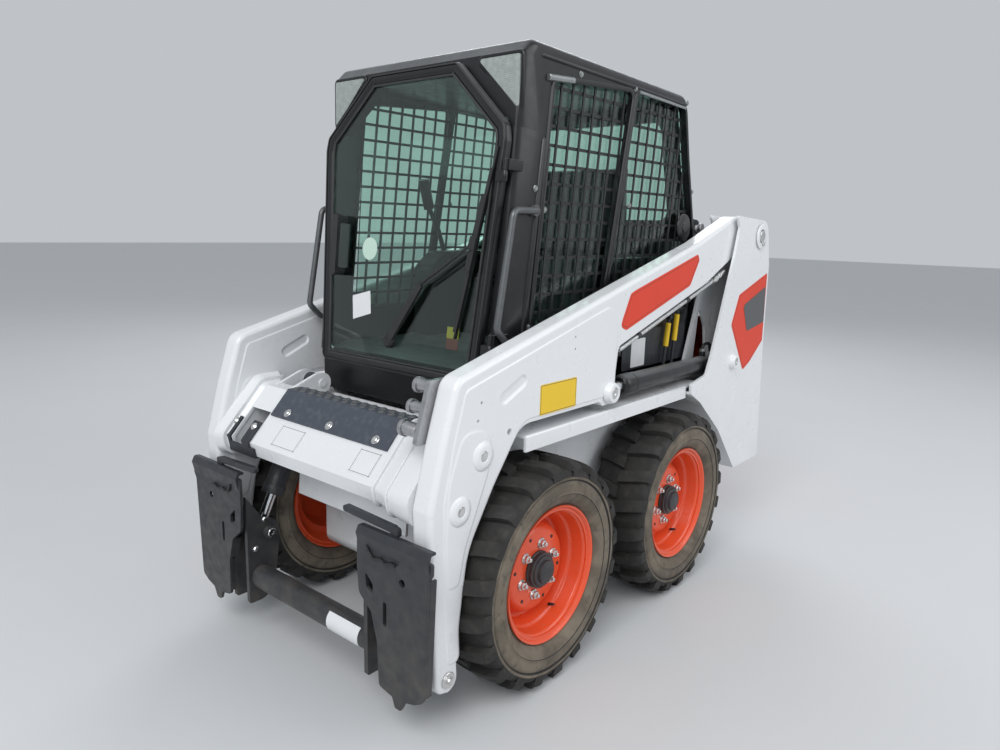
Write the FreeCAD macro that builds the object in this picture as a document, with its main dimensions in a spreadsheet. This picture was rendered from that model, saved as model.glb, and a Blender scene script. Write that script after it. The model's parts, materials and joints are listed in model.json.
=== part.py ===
import FreeCAD, Part
import Sketcher
import math
import os
from FreeCAD import Placement, Rotation, Vector

# Compact skid steer loader with a closed cab, standing on its four wheels with its arms down.
# Lengths are millimetres. The machine is drawn with y = 0 at the front axle and z = 0 on the ground:
# ahead is -y, the operator's left is +x. Every finished piece is then moved ahead by axle_ahead,
# so that the origin lies on the ground in the middle of the overall length.

# Driving dimensions: name, value, meaning
SIZES = [
    ("axle_ahead", 566, "front axle ahead of the origin"),
    ("wheelbase", 800, "front axle to rear axle"),
    ("wheel_radius", 343, "tyre radius over the lugs"),
    ("tyre_width", 216, "tyre section width"),
    ("track_half", 490, "centre plane of a tyre from the middle"),
    ("tread_depth", 22, "height of a lug over the carcass"),
    ("lug_width", 42, "width of a lug along the tread"),
    ("bead_radius", 190, "rim at the tyre bead"),
    ("flange_radius", 208, "rim flange"),
    ("rim_width", 178, "rim over its flanges"),
    ("rim_metal", 6, "rim and disc plate thickness"),
    ("well_radius", 162, "drop centre of the rim"),
    ("disc_inset", 23, "wheel disc inboard of the tyre's centre plane"),
    ("hub_radius", 52, "hub barrel"),
    ("hub_reach", 82, "hub nose outboard of the disc"),
    ("frame_half", 355, "frame tub, half width"),
    ("frame_wall", 10, "frame plate thickness"),
    ("belly_z", 190, "underside of the frame tub"),
    ("deck_z", 770, "top of the ledge over the wheels"),
    ("deck_depth", 46, "height of the ledge's outer lip"),
    ("deck_half", 530, "outer edge of the ledge"),
    ("deck_metal", 8, "ledge plate thickness"),
    ("deck_front", -88, "front end of the ledge behind the front axle"),
    ("tower_half", 550, "outer face of the rear towers"),
    ("tower_inner", 430, "inner face of the rear towers"),
    ("tower_plate", 10, "tower plate thickness"),
    ("body_foot_z", 342, "underside of the towers"),
    ("hood_z", 1185, "top of the tailgate and of the hood"),
    ("pivot_y", 1430, "arm pivot behind the front axle"),
    ("pivot_z", 1326, "arm pivot height"),
    ("pin_y", -389, "coupler pin behind the front axle"),
    ("pin_z", 169, "coupler pin height"),
    ("arm_out", 528, "outer face of the arms"),
    ("arm_width", 70, "arm thickness across"),
    ("arm_plate", 10, "arm cheek beside the lift cylinder's eye"),
    ("lift_eye_y", 339, "lift cylinder's rod eye behind the front axle"),
    ("lift_eye_z", 829, "lift cylinder's rod eye height"),
    ("lift_foot_y", 1247, "lift cylinder's base pin behind the front axle"),
    ("lift_foot_z", 822, "lift cylinder's base pin height"),
    ("lift_bore", 76, "lift cylinder barrel diameter"),
    ("lift_rod", 38, "lift cylinder rod diameter"),
    ("lift_barrel", 790, "lift barrel length from its base pin"),
    ("eye_radius", 28, "cylinder eyes and pin bosses"),
    ("eye_width", 40, "cylinder eyes across"),
    ("pin_radius", 14, "cylinder pins"),
    ("cross_metal", 10, "crossmember plate thickness"),
    ("seat", 0.3, "clearance between two pieces that seat on each other"),
    ("tilt_x", 340, "tilt cylinder right of the middle"),
    ("tilt_foot_y", -160, "tilt cylinder's base pin behind the front axle"),
    ("tilt_foot_z", 806, "tilt cylinder's base pin height"),
    ("tilt_eye_y", -388, "tilt cylinder's rod eye behind the front axle"),
    ("tilt_eye_z", 345, "tilt cylinder's rod eye height"),
    ("tilt_bore", 66, "tilt cylinder barrel diameter"),
    ("tilt_rod", 32, "tilt cylinder rod diameter"),
    ("tilt_barrel", 400, "tilt barrel length from its base pin"),
    ("face_y", -477, "coupler face behind the front axle"),
    ("face_metal", 10, "coupler face plate thickness"),
    ("face_out", 565, "outer edge of the coupler faces"),
    ("face_in", 285, "inner edge of the coupler faces"),
    ("face_top", 545, "top of the coupler faces"),
    ("face_foot", 126, "foot of the coupler faces"),
    ("tube_radius", 38, "coupler cross tube"),
    ("cab_half", 417, "cab half width"),
    ("cab_wall", 12, "cab wall thickness"),
    ("cab_top", 1846, "cab roof"),
    ("cab_sill", 905, "underside of the cab"),
    ("cab_pivot_y", 1128, "cab tilting pin behind the front axle"),
    ("cab_pivot_z", 1352, "cab tilting pin height"),
    ("door_half", 394, "door half width"),
    ("door_foot_y", -116, "door's outer face at its foot, behind the front axle"),
    ("door_foot_z", 878, "door's foot height"),
    ("door_height", 926, "door height along its face"),
    ("door_lean", 5.7, "door's lean to the back, degrees"),
    ("door_frame", 34, "width of the door's frame"),
    ("door_thick", 28, "door frame thickness"),
    ("hinge_radius", 8, "door hinge knuckles"),
    ("hinge_pin", 4, "door hinge pin"),
    ("glass", 6, "glass thickness"),
    ("gate_thick", 34, "tailgate thickness"),
    ("gate_gap", 10, "gap between tailgate and towers"),
    ("screen_bar", 9, "width of a bar of the side screens"),
    ("screen_metal", 4, "screen thickness"),
]

doc = FreeCAD.newDocument("skid_steer_loader")
sheet = doc.addObject("Spreadsheet::Sheet", "dims")
for row, (name, value, meaning) in enumerate(SIZES, start=1):
    sheet.set(f"A{row}", meaning)
    sheet.set(f"B{row}", str(value))
    sheet.setAlias(f"B{row}", name)
doc.recompute()


class Size:
    """A length worked out from cells: its value now, and the expression that the document keeps."""

    def __init__(self, value, text):
        self.value = float(value)
        self.text = text

    def joined(self, other, sign, value):
        return Size(value, f"({self.text} {sign} {size(other).text})")

    def __add__(self, other):
        return self.joined(other, "+", self.value + size(other).value)

    def __sub__(self, other):
        return self.joined(other, "-", self.value - size(other).value)

    def __mul__(self, other):
        return self.joined(other, "*", self.value * size(other).value)

    def __truediv__(self, other):
        return self.joined(other, "/", self.value / size(other).value)

    def __neg__(self):
        return Size(-self.value, f"(0 - {self.text})")

    def __radd__(self, other):
        return size(other) + self

    def __rsub__(self, other):
        return size(other) - self

    def __rmul__(self, other):
        return size(other) * self

    def __float__(self):
        return self.value


def size(value):
    """value as a Size, whether it is one or a plain number."""
    return value if isinstance(value, Size) else Size(value, f"{float(value):.6f}")


class Cells:
    """The spreadsheet's cells by name."""

    def __getattr__(self, name):
        return Size(sheet.get(name), f"dims.{name}")


d = Cells()
NODES = {}
SIDE, FRONT, PLAN = "YZ_Plane", "XZ_Plane", "XY_Plane"


def bind(thing, prop, value):
    """Sets a property from a Size and keeps its expression."""
    thing.setExpression(prop, size(value).text)


def keep(label, thing, moved=True):
    """Registers a finished piece as a node, moved from the axle's frame to the part's."""
    thing.Label = label
    if moved:
        bind(thing, "Placement.Base.y", -d.axle_ahead)
    NODES[label] = thing
    return thing


def new_body(label):
    body = doc.addObject("PartDesign::Body", label)
    body.AllowCompound = True
    return body


def circle(u, v, radius):
    return ("circle", u, v, radius)


def add_circle(sketch, u, v, radius):
    u, v, radius = size(u), size(v), size(radius)
    n = sketch.addGeometry(Part.Circle(Vector(u.value, v.value, 0), Vector(0, 0, 1), radius.value), False)
    for kind, target in (("DistanceX", u), ("DistanceY", v)):
        c = sketch.addConstraint(Sketcher.Constraint(kind, -1, 1, n, 3, target.value))
        sketch.setExpression(f"Constraints[{c}]", target.text)
    c = sketch.addConstraint(Sketcher.Constraint("Radius", n, radius.value))
    sketch.setExpression(f"Constraints[{c}]", radius.text)


def corner_arc(before, at, after, radius):
    """The arc of that radius in the corner at: centre, ends, and whether the outline turns left there."""
    a = (before - at).normalize()
    b = (after - at).normalize()
    half = a.getAngle(b) / 2
    start = at + a * (radius / math.tan(half))
    end = at + b * (radius / math.tan(half))
    centre = at + (a + b).normalize() * (radius / math.sin(half))
    left = (-a).cross(b).z > 0
    return centre, start, end, left


def pin_point(sketch, geometry, point, u, v):
    """Holds a point of the sketch at its two sizes."""
    for kind, target in (("DistanceX", u), ("DistanceY", v)):
        c = sketch.addConstraint(Sketcher.Constraint(kind, -1, 1, geometry, point, target.value))
        sketch.setExpression(f"Constraints[{c}]", target.text)


def add_outline(sketch, corners):
    """A closed outline through corners (u, v) or (u, v, radius), every one held by its own sizes."""
    rows = [tuple(size(x) for x in (*c, 0)[:3]) for c in corners]
    points = [Vector(u.value, v.value, 0) for u, v, r in rows]
    count = len(rows)
    arcs = []
    for i, (u, v, r) in enumerate(rows):
        if r.value > 0:
            arcs.append(corner_arc(points[i - 1], points[i], points[(i + 1) % count], r.value))
        else:
            arcs.append((None, points[i], points[i], True))
    lines = []
    for i in range(count):
        start, end = arcs[i][2], arcs[(i + 1) % count][1]
        lines.append(sketch.addGeometry(Part.LineSegment(start, end), False))
    for i, (u, v, r) in enumerate(rows):
        before, after = lines[i - 1], lines[i]
        if r.value <= 0:
            sketch.addConstraint(Sketcher.Constraint("Coincident", before, 2, after, 1))
            pin_point(sketch, after, 1, u, v)
            continue
        centre, start, end, left = arcs[i]
        first, last = (start, end) if left else (end, start)
        angles = [math.atan2(p.y - centre.y, p.x - centre.x) for p in (first, last)]
        if angles[1] < angles[0]:
            angles[1] += 2 * math.pi
        ring = Part.Circle(centre, Vector(0, 0, 1), r.value)
        arc = sketch.addGeometry(Part.ArcOfCircle(ring, *angles), False)
        near, far = (1, 2) if left else (2, 1)
        sketch.addConstraint(Sketcher.Constraint("Tangent", before, 2, arc, near))
        sketch.addConstraint(Sketcher.Constraint("Tangent", arc, far, after, 1))
        c = sketch.addConstraint(Sketcher.Constraint("Radius", arc, r.value))
        sketch.setExpression(f"Constraints[{c}]", r.text)
        mark = sketch.addGeometry(Part.Point(points[i]), True)
        sketch.addConstraint(Sketcher.Constraint("PointOnObject", mark, 1, before))
        sketch.addConstraint(Sketcher.Constraint("PointOnObject", mark, 1, after))
        pin_point(sketch, mark, 1, u, v)


def draw(body, plane, start, loops):
    """A sketch on one of the body's own planes, start above it along its normal."""
    sketch = body.newObject("Sketcher::SketchObject", body.Name + "_sketch")
    support = next(f for f in body.Origin.OriginFeatures if f.Role == plane)
    sketch.AttachmentSupport = [(support, "")]
    sketch.MapMode = "FlatFace"
    bind(sketch, "AttachmentOffset.Base.z", start)
    for loop in loops:
        if loop[0] == "circle":
            add_circle(sketch, *loop[1:])
        else:
            add_outline(sketch, loop)
    return sketch


def slab(body, plane, start, thick, *loops):
    """Adds the outline, padded along the plane's normal from start. The front plane's normal is -y."""
    pad = body.newObject("PartDesign::Pad", body.Name + "_pad")
    pad.Profile = draw(body, plane, start, loops)
    bind(pad, "Length", thick)
    body.Tip = pad
    return pad


def notch(body, plane, start, thick, *loops):
    """Takes the outline away, along the plane's normal from start."""
    pocket = body.newObject("PartDesign::Pocket", body.Name + "_pocket")
    pocket.Profile = draw(body, plane, start, loops)
    bind(pocket, "Length", thick)
    pocket.Reversed = True
    body.Tip = pocket
    return pocket


def row_of(body, feature, axis, length, count):
    """Repeats a feature along one of the body's axes, over that length from the first copy to the last."""
    pattern = body.newObject("PartDesign::LinearPattern", body.Name + "_row")
    pattern.Originals = [feature]
    line = next(f for f in body.Origin.OriginFeatures if f.Role == axis)
    pattern.Direction = (line, [""])
    bind(pattern, "Length", length)
    pattern.Occurrences = count
    body.Tip = pattern
    return pattern


def other_hand(label, source):
    """The same piece for the machine's right side."""
    mirror = doc.addObject("Part::Mirroring", label)
    mirror.Source = source
    mirror.Normal = Vector(1, 0, 0)
    return keep(label, mirror, moved=False)


def rectangle(u0, u1, v0, v1, radius=0):
    return [(u0, v0, radius), (u1, v0, radius), (u1, v1, radius), (u0, v1, radius)]


def rod_between(name, x, y0, z0, y1, z1, from_start, length, radius):
    """A round bar in the side plane x, on the line from one point to another, by its start and length."""
    bar = doc.addObject("Part::Cylinder", name)
    bind(bar, "Radius", radius)
    bind(bar, "Height", length)
    y0, z0, y1, z1 = (float(v) for v in (y0, z0, y1, z1))
    along = Vector(0, y1 - y0, z1 - z0).normalize()
    foot = Vector(float(x), y0, z0) + along * float(from_start)
    bar.Placement = Placement(foot, Rotation(Vector(0, 0, 1), along))
    return bar


def cross_bar(name, x0, x1, y, z, radius):
    """A round bar across the machine from x0 to x1."""
    bar = doc.addObject("Part::Cylinder", name)
    bind(bar, "Radius", radius)
    bind(bar, "Height", x1 - x0)
    bar.Placement = Placement(Vector(0, 0, 0), Rotation(Vector(0, 1, 0), 90))
    for axis, value in (("x", x0), ("y", y), ("z", z)):
        bind(bar, f"Placement.Base.{axis}", value)
    return bar


def fused(name, *parts):
    joined = doc.addObject("Part::MultiFuse", name)
    joined.Shapes = list(parts)
    return joined


def cut(name, base, tool):
    result = doc.addObject("Part::Cut", name)
    result.Base = base
    result.Tool = tool
    return result


def tube(name, points, radius, bend):
    """A round tube along straight runs joined by arcs, as a bent handle is."""
    path, last = [], points[0]
    for before, at, after in zip(points, points[1:], points[2:]):
        a = (before - at).normalize()
        b = (after - at).normalize()
        half = a.getAngle(b) / 2
        start, end = at + a * (bend / math.tan(half)), at + b * (bend / math.tan(half))
        centre = at + (a + b).normalize() * (bend / math.sin(half))
        middle = centre + (at - centre).normalize() * bend
        path.append(Part.LineSegment(last, start).toShape())
        path.append(Part.Arc(start, middle, end).toShape())
        last = end
    path.append(Part.LineSegment(last, points[-1]).toShape())
    spine = Part.Wire(path)
    ring = Part.Wire(Part.Circle(points[0], points[1] - points[0], radius).toShape())
    feature = doc.addObject("Part::Feature", name)
    feature.Shape = spine.makePipeShell([ring], True, True)
    return feature


def between(start, end, share):
    """The point that lies a share of the way from start to end."""
    return tuple(a + (b - a) * share for a, b in zip(start, end))


def beside(points, distance, below=True):
    """A line of points moved sideways by a distance, its corners kept sharp."""
    face = [Vector(float(u), float(v), 0) for u, v in points]
    other = []
    for i, at in enumerate(face):
        before = (at - face[i - 1]).normalize() if i else (face[1] - at).normalize()
        after = (face[i + 1] - at).normalize() if i + 1 < len(face) else before
        normal = Vector(before.y + after.y, -before.x - after.x, 0).normalize()
        reach = 1 / max(normal.dot(Vector(before.y, -before.x, 0)), 0.3)
        other.append((normal.x * reach, normal.y * reach))
    sign = 1 if below else -1
    return [(u + distance * (sign * du), v + distance * (sign * dv))
            for (u, v), (du, dv) in zip(points, other)]


def shell_strip(points, thick, below=True):
    """A bent plate's outline: the points of one face, and the same points moved by the plate's thickness."""
    return list(points) + beside(points, thick, below)[::-1]


def cell_points(rows):
    """Corners (y, z) or (y, z, radius) written to the sheet, each under its own name, and read back."""
    start = len(SIZES) + 1
    corners = []
    for name, y, z, *radius in rows:
        for axis, value in (("y", y), ("z", z)):
            row = start + cell_points.used
            sheet.set(f"A{row}", name.replace("_", " ") + ", " + axis)
            sheet.set(f"B{row}", str(value))
            sheet.setAlias(f"B{row}", f"{name}_{axis}")
            cell_points.used += 1
        corners.append(name)
    doc.recompute()
    return [(getattr(d, row[0] + "_y"), getattr(d, row[0] + "_z"), row[3] if len(row) > 3 else 0)
            for row in rows]


cell_points.used = 0

# Outline of an arm from the side: name, behind the front axle, height, corner radius
ARM = cell_points([
    ("toe_back", -350, 130, 36), ("shin_low", -362, 300, 400), ("shin_mid", -330, 500, 300),
    ("shin_top", -232, 655, 200), ("elbow_inside", -110, 806, 90), ("boss_front", 284, 806, 20),
    ("boss_low", 305, 790, 14), ("boss_back", 360, 790, 14), ("step_top", 384, 971, 25),
    ("belly_mid", 990, 1146, 300), ("heel_low", 1228, 1246, 90), ("heel_under", 1380, 1264, 60),
    ("heel_back", 1492, 1264, 60), ("heel_top", 1492, 1388, 60), ("back_top", 1233, 1402, 60),
    ("spine_mid", 913, 1298, 500), ("knee_top", -364, 967, 50), ("knee_front", -412, 815, 60),
    ("thigh_front", -458, 645, 40), ("shin_front", -449, 420, 300), ("toe_front", -428, 130, 36),
])

# Outline of a rear tower's outer plate from the side
TOWER = cell_points([
    ("arch_front", 893, 738, 4), ("arch_upper", 972, 695, 60), ("arch_middle", 1164, 548, 200),
    ("foot_front", 1357, 342, 6), ("foot_back", 1618, 342, 14), ("back_low", 1568, 900, 200),
    ("back_high", 1554, 1206, 120), ("back_corner", 1500, 1388, 62), ("front_ear", 1183, 1404, 8),
    ("front_notch", 1216, 1358, 20), ("front_upper", 1185, 1249, 90), ("front_lower", 1046, 872, 80),
    ("front_foot", 1010, 798, 20), ("front_toe", 885, 778, 6),
])


def make_tub():
    """The box of plates that carries axles, towers and engine, open at the top."""
    body = new_body("frame_tub")
    top = d.deck_z - d.deck_metal
    outline = [(-108, top), (-108, d.belly_z, 40), (1340, d.belly_z, 80), (1550, 345, 20), (1515, top)]
    slab(body, SIDE, -d.frame_half, d.frame_half * 2, outline)
    w = d.frame_wall
    inside = [(-108 + w, top + w), (-108 + w, d.belly_z + w, 32), (1336, d.belly_z + w, 76),
              (1550 - w, 352, 14), (1515 - w, top + w)]
    notch(body, SIDE, w - d.frame_half, (d.frame_half - w) * 2, inside)
    return keep("frame_tub", body)


def make_axles(label, y):
    """The bolted stubs that carry a pair of wheels: housings, flanges and the shafts in the hubs."""
    root = d.frame_half
    hub_back = d.track_half - d.disc_inset - 26
    housing = cross_bar(label + "_housing", root, hub_back, y, d.wheel_radius, d.hub_radius - 6)
    flange = cross_bar(label + "_flange", root, root + 14, y, d.wheel_radius, d.hub_radius + 24)
    shaft = cross_bar(label + "_shaft", hub_back - 5, hub_back + 70, y, d.wheel_radius, d.hub_radius / 2)
    left = fused(label + "_left", housing, flange, shaft)
    right = doc.addObject("Part::Mirroring", label + "_right")
    right.Source = left
    right.Normal = Vector(1, 0, 0)
    pair = doc.addObject("Part::Compound", label)
    pair.Links = [left, right]
    return keep(label, pair)


def make_deck():
    """The ledge over the wheels: a flat plate with a lip turned down at its outer edge."""
    body = new_body("ledge_left")
    inner = d.frame_half - d.frame_wall
    low, metal = d.deck_z - d.deck_depth, d.deck_metal
    profile = [(inner, d.deck_z), (inner, d.deck_z - metal), (d.deck_half - metal, d.deck_z - metal),
               (d.deck_half - metal, low), (d.deck_half, low), (d.deck_half, d.deck_z, 6)]
    back = d.arch_upper_y + 30
    slab(body, FRONT, -back, back - d.deck_front, profile)
    arch = rectangle(inner - 1, d.deck_half + 1, low - 1, d.deck_z - metal)
    notch(body, FRONT, -back - 1, back - d.arch_front_y + 10, arch)
    return keep("ledge_left", body)


def make_tower():
    """A rear tower: two plates with the arm between them, the wheel arch, the back and the foot."""
    body = new_body("tower_left")
    plate = d.tower_plate
    slab(body, SIDE, d.tower_half - plate, plate, TOWER)
    inner = [(1010, d.deck_z)] + TOWER[1:3] + TOWER[3:11] + [(d.front_lower_y, d.front_lower_z, 80)]
    slab(body, SIDE, d.tower_inner, plate, inner)
    arch = [(y, z) for y, z, r in TOWER[0:4]]
    slab(body, SIDE, d.frame_half, d.tower_half - d.frame_half, shell_strip(arch, plate, below=False))
    back = [(y, z) for y, z, r in TOWER[4:7]] + [(d.back_corner_y + 16, d.back_corner_z - 50)]
    slab(body, SIDE, d.tower_inner, d.tower_half - d.tower_inner, shell_strip(back, plate, below=False))
    foot = rectangle(d.foot_front_y, d.foot_back_y, d.body_foot_z, d.body_foot_z + plate)
    slab(body, SIDE, d.tower_inner, d.tower_half - d.tower_inner, foot)
    pivot = circle(d.pivot_y, d.pivot_z, 25)
    slab(body, SIDE, d.tower_inner - 6, d.tower_half + 6 - d.tower_inner + 6, pivot)
    slab(body, SIDE, d.tower_half, 6, circle(d.pivot_y, d.pivot_z, 42))
    foot_pin = circle(d.lift_foot_y, d.lift_foot_z, d.pin_radius)
    slab(body, SIDE, d.tower_inner, d.tower_half - d.tower_inner, foot_pin)
    cab_pin = circle(d.cab_pivot_y, d.cab_pivot_z, 12)
    slab(body, SIDE, d.cab_half - 24, d.tower_inner - d.cab_half + 24, cab_pin)
    pointed = [(1111, 828, 10), (1233, 813, 10), (1200, 960, 40), (1136, 1050, 12)]
    notch(body, SIDE, d.tower_inner - 1, plate + 2, pointed)
    slot = [(1325, 980, 20), (1352, 840, 20), (1395, 846, 20), (1368, 988, 20)]
    notch(body, SIDE, d.tower_inner - 1, plate + 2, slot)
    return keep("tower_left", body)


def make_bulkhead():
    """The wall between the cab and the engine, with the hood's hinge along its top."""
    body = new_body("bulkhead")
    half = d.tower_inner
    slab(body, SIDE, -half, half * 2, rectangle(1112, 1124, d.deck_z - d.deck_metal, d.hood_z))
    return keep("bulkhead", body)


def make_engine():
    """Engine with its sump, head and fan shroud, upright behind the bulkhead."""
    body = new_body("engine")
    slab(body, SIDE, -170, 340, [(1160, 330, 20), (1450, 330, 20), (1450, 700, 10), (1160, 700, 10)])
    slab(body, SIDE, -140, 280, [(1190, 700), (1420, 700), (1400, 900, 30), (1210, 900, 30)])
    floor = d.belly_z + d.frame_wall + 0.3
    slab(body, SIDE, -120, 240, [(1190, floor), (1300, floor), (1300, 330), (1190, 330)])
    slab(body, SIDE, 140, 60, circle(1300, 620, 110), circle(1300, 620, 60))
    return keep("engine", body)


def make_cooler():
    """Radiator lying under the hood."""
    body = new_body("radiator")
    slab(body, SIDE, -300, 600, [(1150, 1060), (1480, 1110), (1472, 1162), (1142, 1112)])
    slab(body, SIDE, -345, 45, [(1124, 1030), (1500, 1080), (1500, 1150), (1124, 1130)])
    slab(body, SIDE, 300, 45, [(1124, 1030), (1500, 1080), (1500, 1150), (1124, 1130)])
    return keep("radiator", body)


GATE_KNUCKLES = (500, 760)


def gate_slope():
    """How far the tailgate comes ahead for each length of height, below its bend."""
    return (d.foot_back_y - d.back_low_y - 2) / 500


def gate_face(z):
    """The tailgate's outer face at a height, below its bend."""
    return d.foot_back_y - 10 - gate_slope() * (z - 400)


def hinge_block(body, near, far, low, high, start, end):
    """A hinge knuckle from near to far, between two heights, from one reach off the gate to another."""
    slope = gate_slope()
    corners = [(gate_face(z) + reach, z + slope * reach)
               for z, reach in ((low, start), (high, start), (high, end), (low, end))]
    return slab(body, SIDE, near, far - near, corners)


def make_gate_hinges():
    """The left tower's two knuckles for the tailgate."""
    body = new_body("tailgate_hinges")
    for z in GATE_KNUCKLES:
        hinge_block(body, d.tower_inner - d.gate_gap - 5, d.tower_inner, z + 60.3, z + 110, 1.5, 14)
    return keep("tailgate_hinges", body)


def make_tailgate():
    """The door over the engine, hinged upright at the left tower."""
    body = new_body("tailgate")
    half = d.tower_inner - d.gate_gap
    outer = [(d.foot_back_y - 10, 400), (d.back_low_y - 8, 900), (d.back_high_y - 6, 1180)]
    outline = shell_strip(outer, d.gate_thick, below=False)
    slab(body, SIDE, -half, half * 2, outline)
    for z in GATE_KNUCKLES:
        hinge_block(body, d.tower_inner - d.gate_gap - 10, d.tower_inner - d.gate_gap + 4, z, z + 60, -1, 14)
    louvres = [rectangle(-300, 300, z, z + 26, 12) for z in (960, 1010, 1060)]
    notch(body, FRONT, -1700, 400, *louvres)
    return keep("tailgate", body)


def make_hood():
    """The grille over the radiator, hinged along the bulkhead."""
    body = new_body("hood")
    half = d.tower_inner - d.gate_gap
    low, high = d.hood_z + 0.3, d.hood_z + 34
    plate = [(1114, low), (1536, low), (1520, high, 16), (1114, high, 4)]
    slab(body, SIDE, -half, half * 2, plate)
    slots = 12
    first = notch(body, PLAN, d.hood_z - 40, 120, rectangle(-350, -312, 1170, 1480, 18))
    row_of(body, first, "X_Axis", 662, slots)
    return keep("hood", body)


def make_cab_base():
    """The upright band that the cab sits on, open at the sides under the arms."""
    body = new_body("cab_base")
    half, wall = d.cab_half - 27, 8
    top = d.cab_sill - 0.3
    slab(body, SIDE, -half, half * 2, rectangle(-78, 1100, d.deck_z, top))
    room = rectangle(-78 + wall, 1100 - wall, d.deck_z - 5, top + 5)
    notch(body, SIDE, wall - half, (half - wall) * 2, room)
    notch(body, SIDE, -half - 5, (half + 5) * 2, rectangle(520, 1040, d.deck_z + 18, top - 14, 12))
    return keep("cab_base", body)


def make_arm():
    """A lift arm, hollow round the lift cylinder's rod eye."""
    body = new_body("arm_left")
    inner = d.arm_out - d.arm_width
    slab(body, SIDE, inner, d.arm_width, ARM)
    notch(body, SIDE, inner - 1, d.arm_width + 2, circle(d.pivot_y, d.pivot_z, 25.4))
    hollow = [(d.lift_eye_y - 36, 740), (d.lift_eye_y + 90, 740), (d.lift_eye_y + 90, 960),
              (d.lift_eye_y + 30, 924, 10), (d.lift_eye_y - 36, 924, 12)]
    notch(body, SIDE, inner + d.arm_plate, d.arm_width - d.arm_plate * 2, hollow)
    reach = (d.arm_width - d.eye_width) / 2 - 1
    eye = circle(d.lift_eye_y, d.lift_eye_z, d.pin_radius)
    slab(body, SIDE, inner - 4, reach + 4, eye)
    slab(body, SIDE, d.arm_out - reach, reach + 4, eye)
    slab(body, SIDE, d.arm_out, 4, circle(-280, 754, 26), circle(-280, 754, 11))
    slab(body, SIDE, d.arm_out, 4, circle(-355, 628, 26), circle(-355, 628, 11))
    slab(body, SIDE, inner - 56, d.arm_width + 60, circle(d.pin_y, d.pin_z, 19))
    return keep("arm_left", body)


# The crossmember's outer face in profile: bottom edge, nose, slope, shelf and its turned-down back edge.
CROSS_FACE = [(size(y), size(z)) for y, z in
              ((-262, 590), (-432, 613), (-441, 655), (-304, 804), (-252, 804), (-252, 640))]


def make_crossmember():
    """The formed plate between the arms: lip, sloping front, and the shelf under the tread."""
    body = new_body("crossmember")
    half = d.arm_out - d.arm_width
    slab(body, SIDE, -half, half * 2, shell_strip(CROSS_FACE, d.cross_metal))
    room = rectangle(-480, -200, 560, d.tilt_foot_z - 66)
    notch(body, SIDE, -d.tilt_x - 52, 104, room)
    for near in (-d.tilt_x - 36 - 14, -d.tilt_x + 36):
        lug = [(-300, 744), (-262, 742), (-170, 772), (d.tilt_foot_y + 34, d.tilt_foot_z - 34, 33),
               (d.tilt_foot_y + 34, d.tilt_foot_z + 34, 33), (d.tilt_foot_y - 20, d.tilt_foot_z + 34, 30),
               (-300, 796)]
        slab(body, SIDE, near, 14, lug)
    pin = circle(d.tilt_foot_y, d.tilt_foot_z, d.pin_radius)
    slab(body, SIDE, -d.tilt_x - 54, 108, pin)
    return keep("crossmember", body)


def make_skirt():
    """The plate that hangs behind the lip, down to the coupler."""
    body = new_body("crossmember_skirt")
    near, far = beside([between(*CROSS_FACE[:2], 0.03), between(*CROSS_FACE[:2], 0.09)], d.seat, below=False)
    outline = [(near[0] - 22, 455, 4), (near[0] - 12, 455, 4), near, far]
    slab(body, SIDE, -258, 516, outline)
    return keep("crossmember_skirt", body)


def make_tread():
    """The folded step plate on the crossmember, with its studs."""
    body = new_body("tread_plate")
    slope, shelf = CROSS_FACE[2:4], CROSS_FACE[3:5]
    face = beside([between(*slope, 0.52), shelf[0], between(*shelf, 0.95)], d.seat, below=False)
    slab(body, SIDE, -275, 550, shell_strip(face, 6, below=False))
    return keep("tread_plate", body)


def make_hose_bracket():
    """Black guard in front of the tilt cylinder, with two fingers bolted to the crossmember."""
    body = new_body("hose_bracket")
    foot, nose, slope = CROSS_FACE[:2], CROSS_FACE[1:3], CROSS_FACE[2:4]
    back = beside([between(*foot, 0.84), *nose, between(*slope, 0.36)], d.seat, below=False)
    slab(body, SIDE, -452, 186, shell_strip(back, 7, below=False))
    gaps = [rectangle(x0, x1, 640, 720) for x0, x1 in ((-460, -436), (-396, -330), (-290, -250))]
    notch(body, FRONT, size(360), size(100), *gaps)
    return keep("hose_bracket", body)


def make_couplers():
    """Three hydraulic quick couplers on the left arm's inner face."""
    body = new_body("aux_couplers")
    inner = d.arm_out - d.arm_width
    slab(body, SIDE, inner - 14, 14, [(-440, 800, 8), (-350, 800, 8), (-330, 960, 8), (-390, 960, 8)])
    for y, z, r in ((-412, 832, 19), (-386, 884, 15), (-362, 936, 17)):
        slab(body, SIDE, inner - 62, 48, circle(y, z, r))
        slab(body, SIDE, inner - 74, 12, circle(y, z, r + 4))
    return keep("aux_couplers", body)


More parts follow.
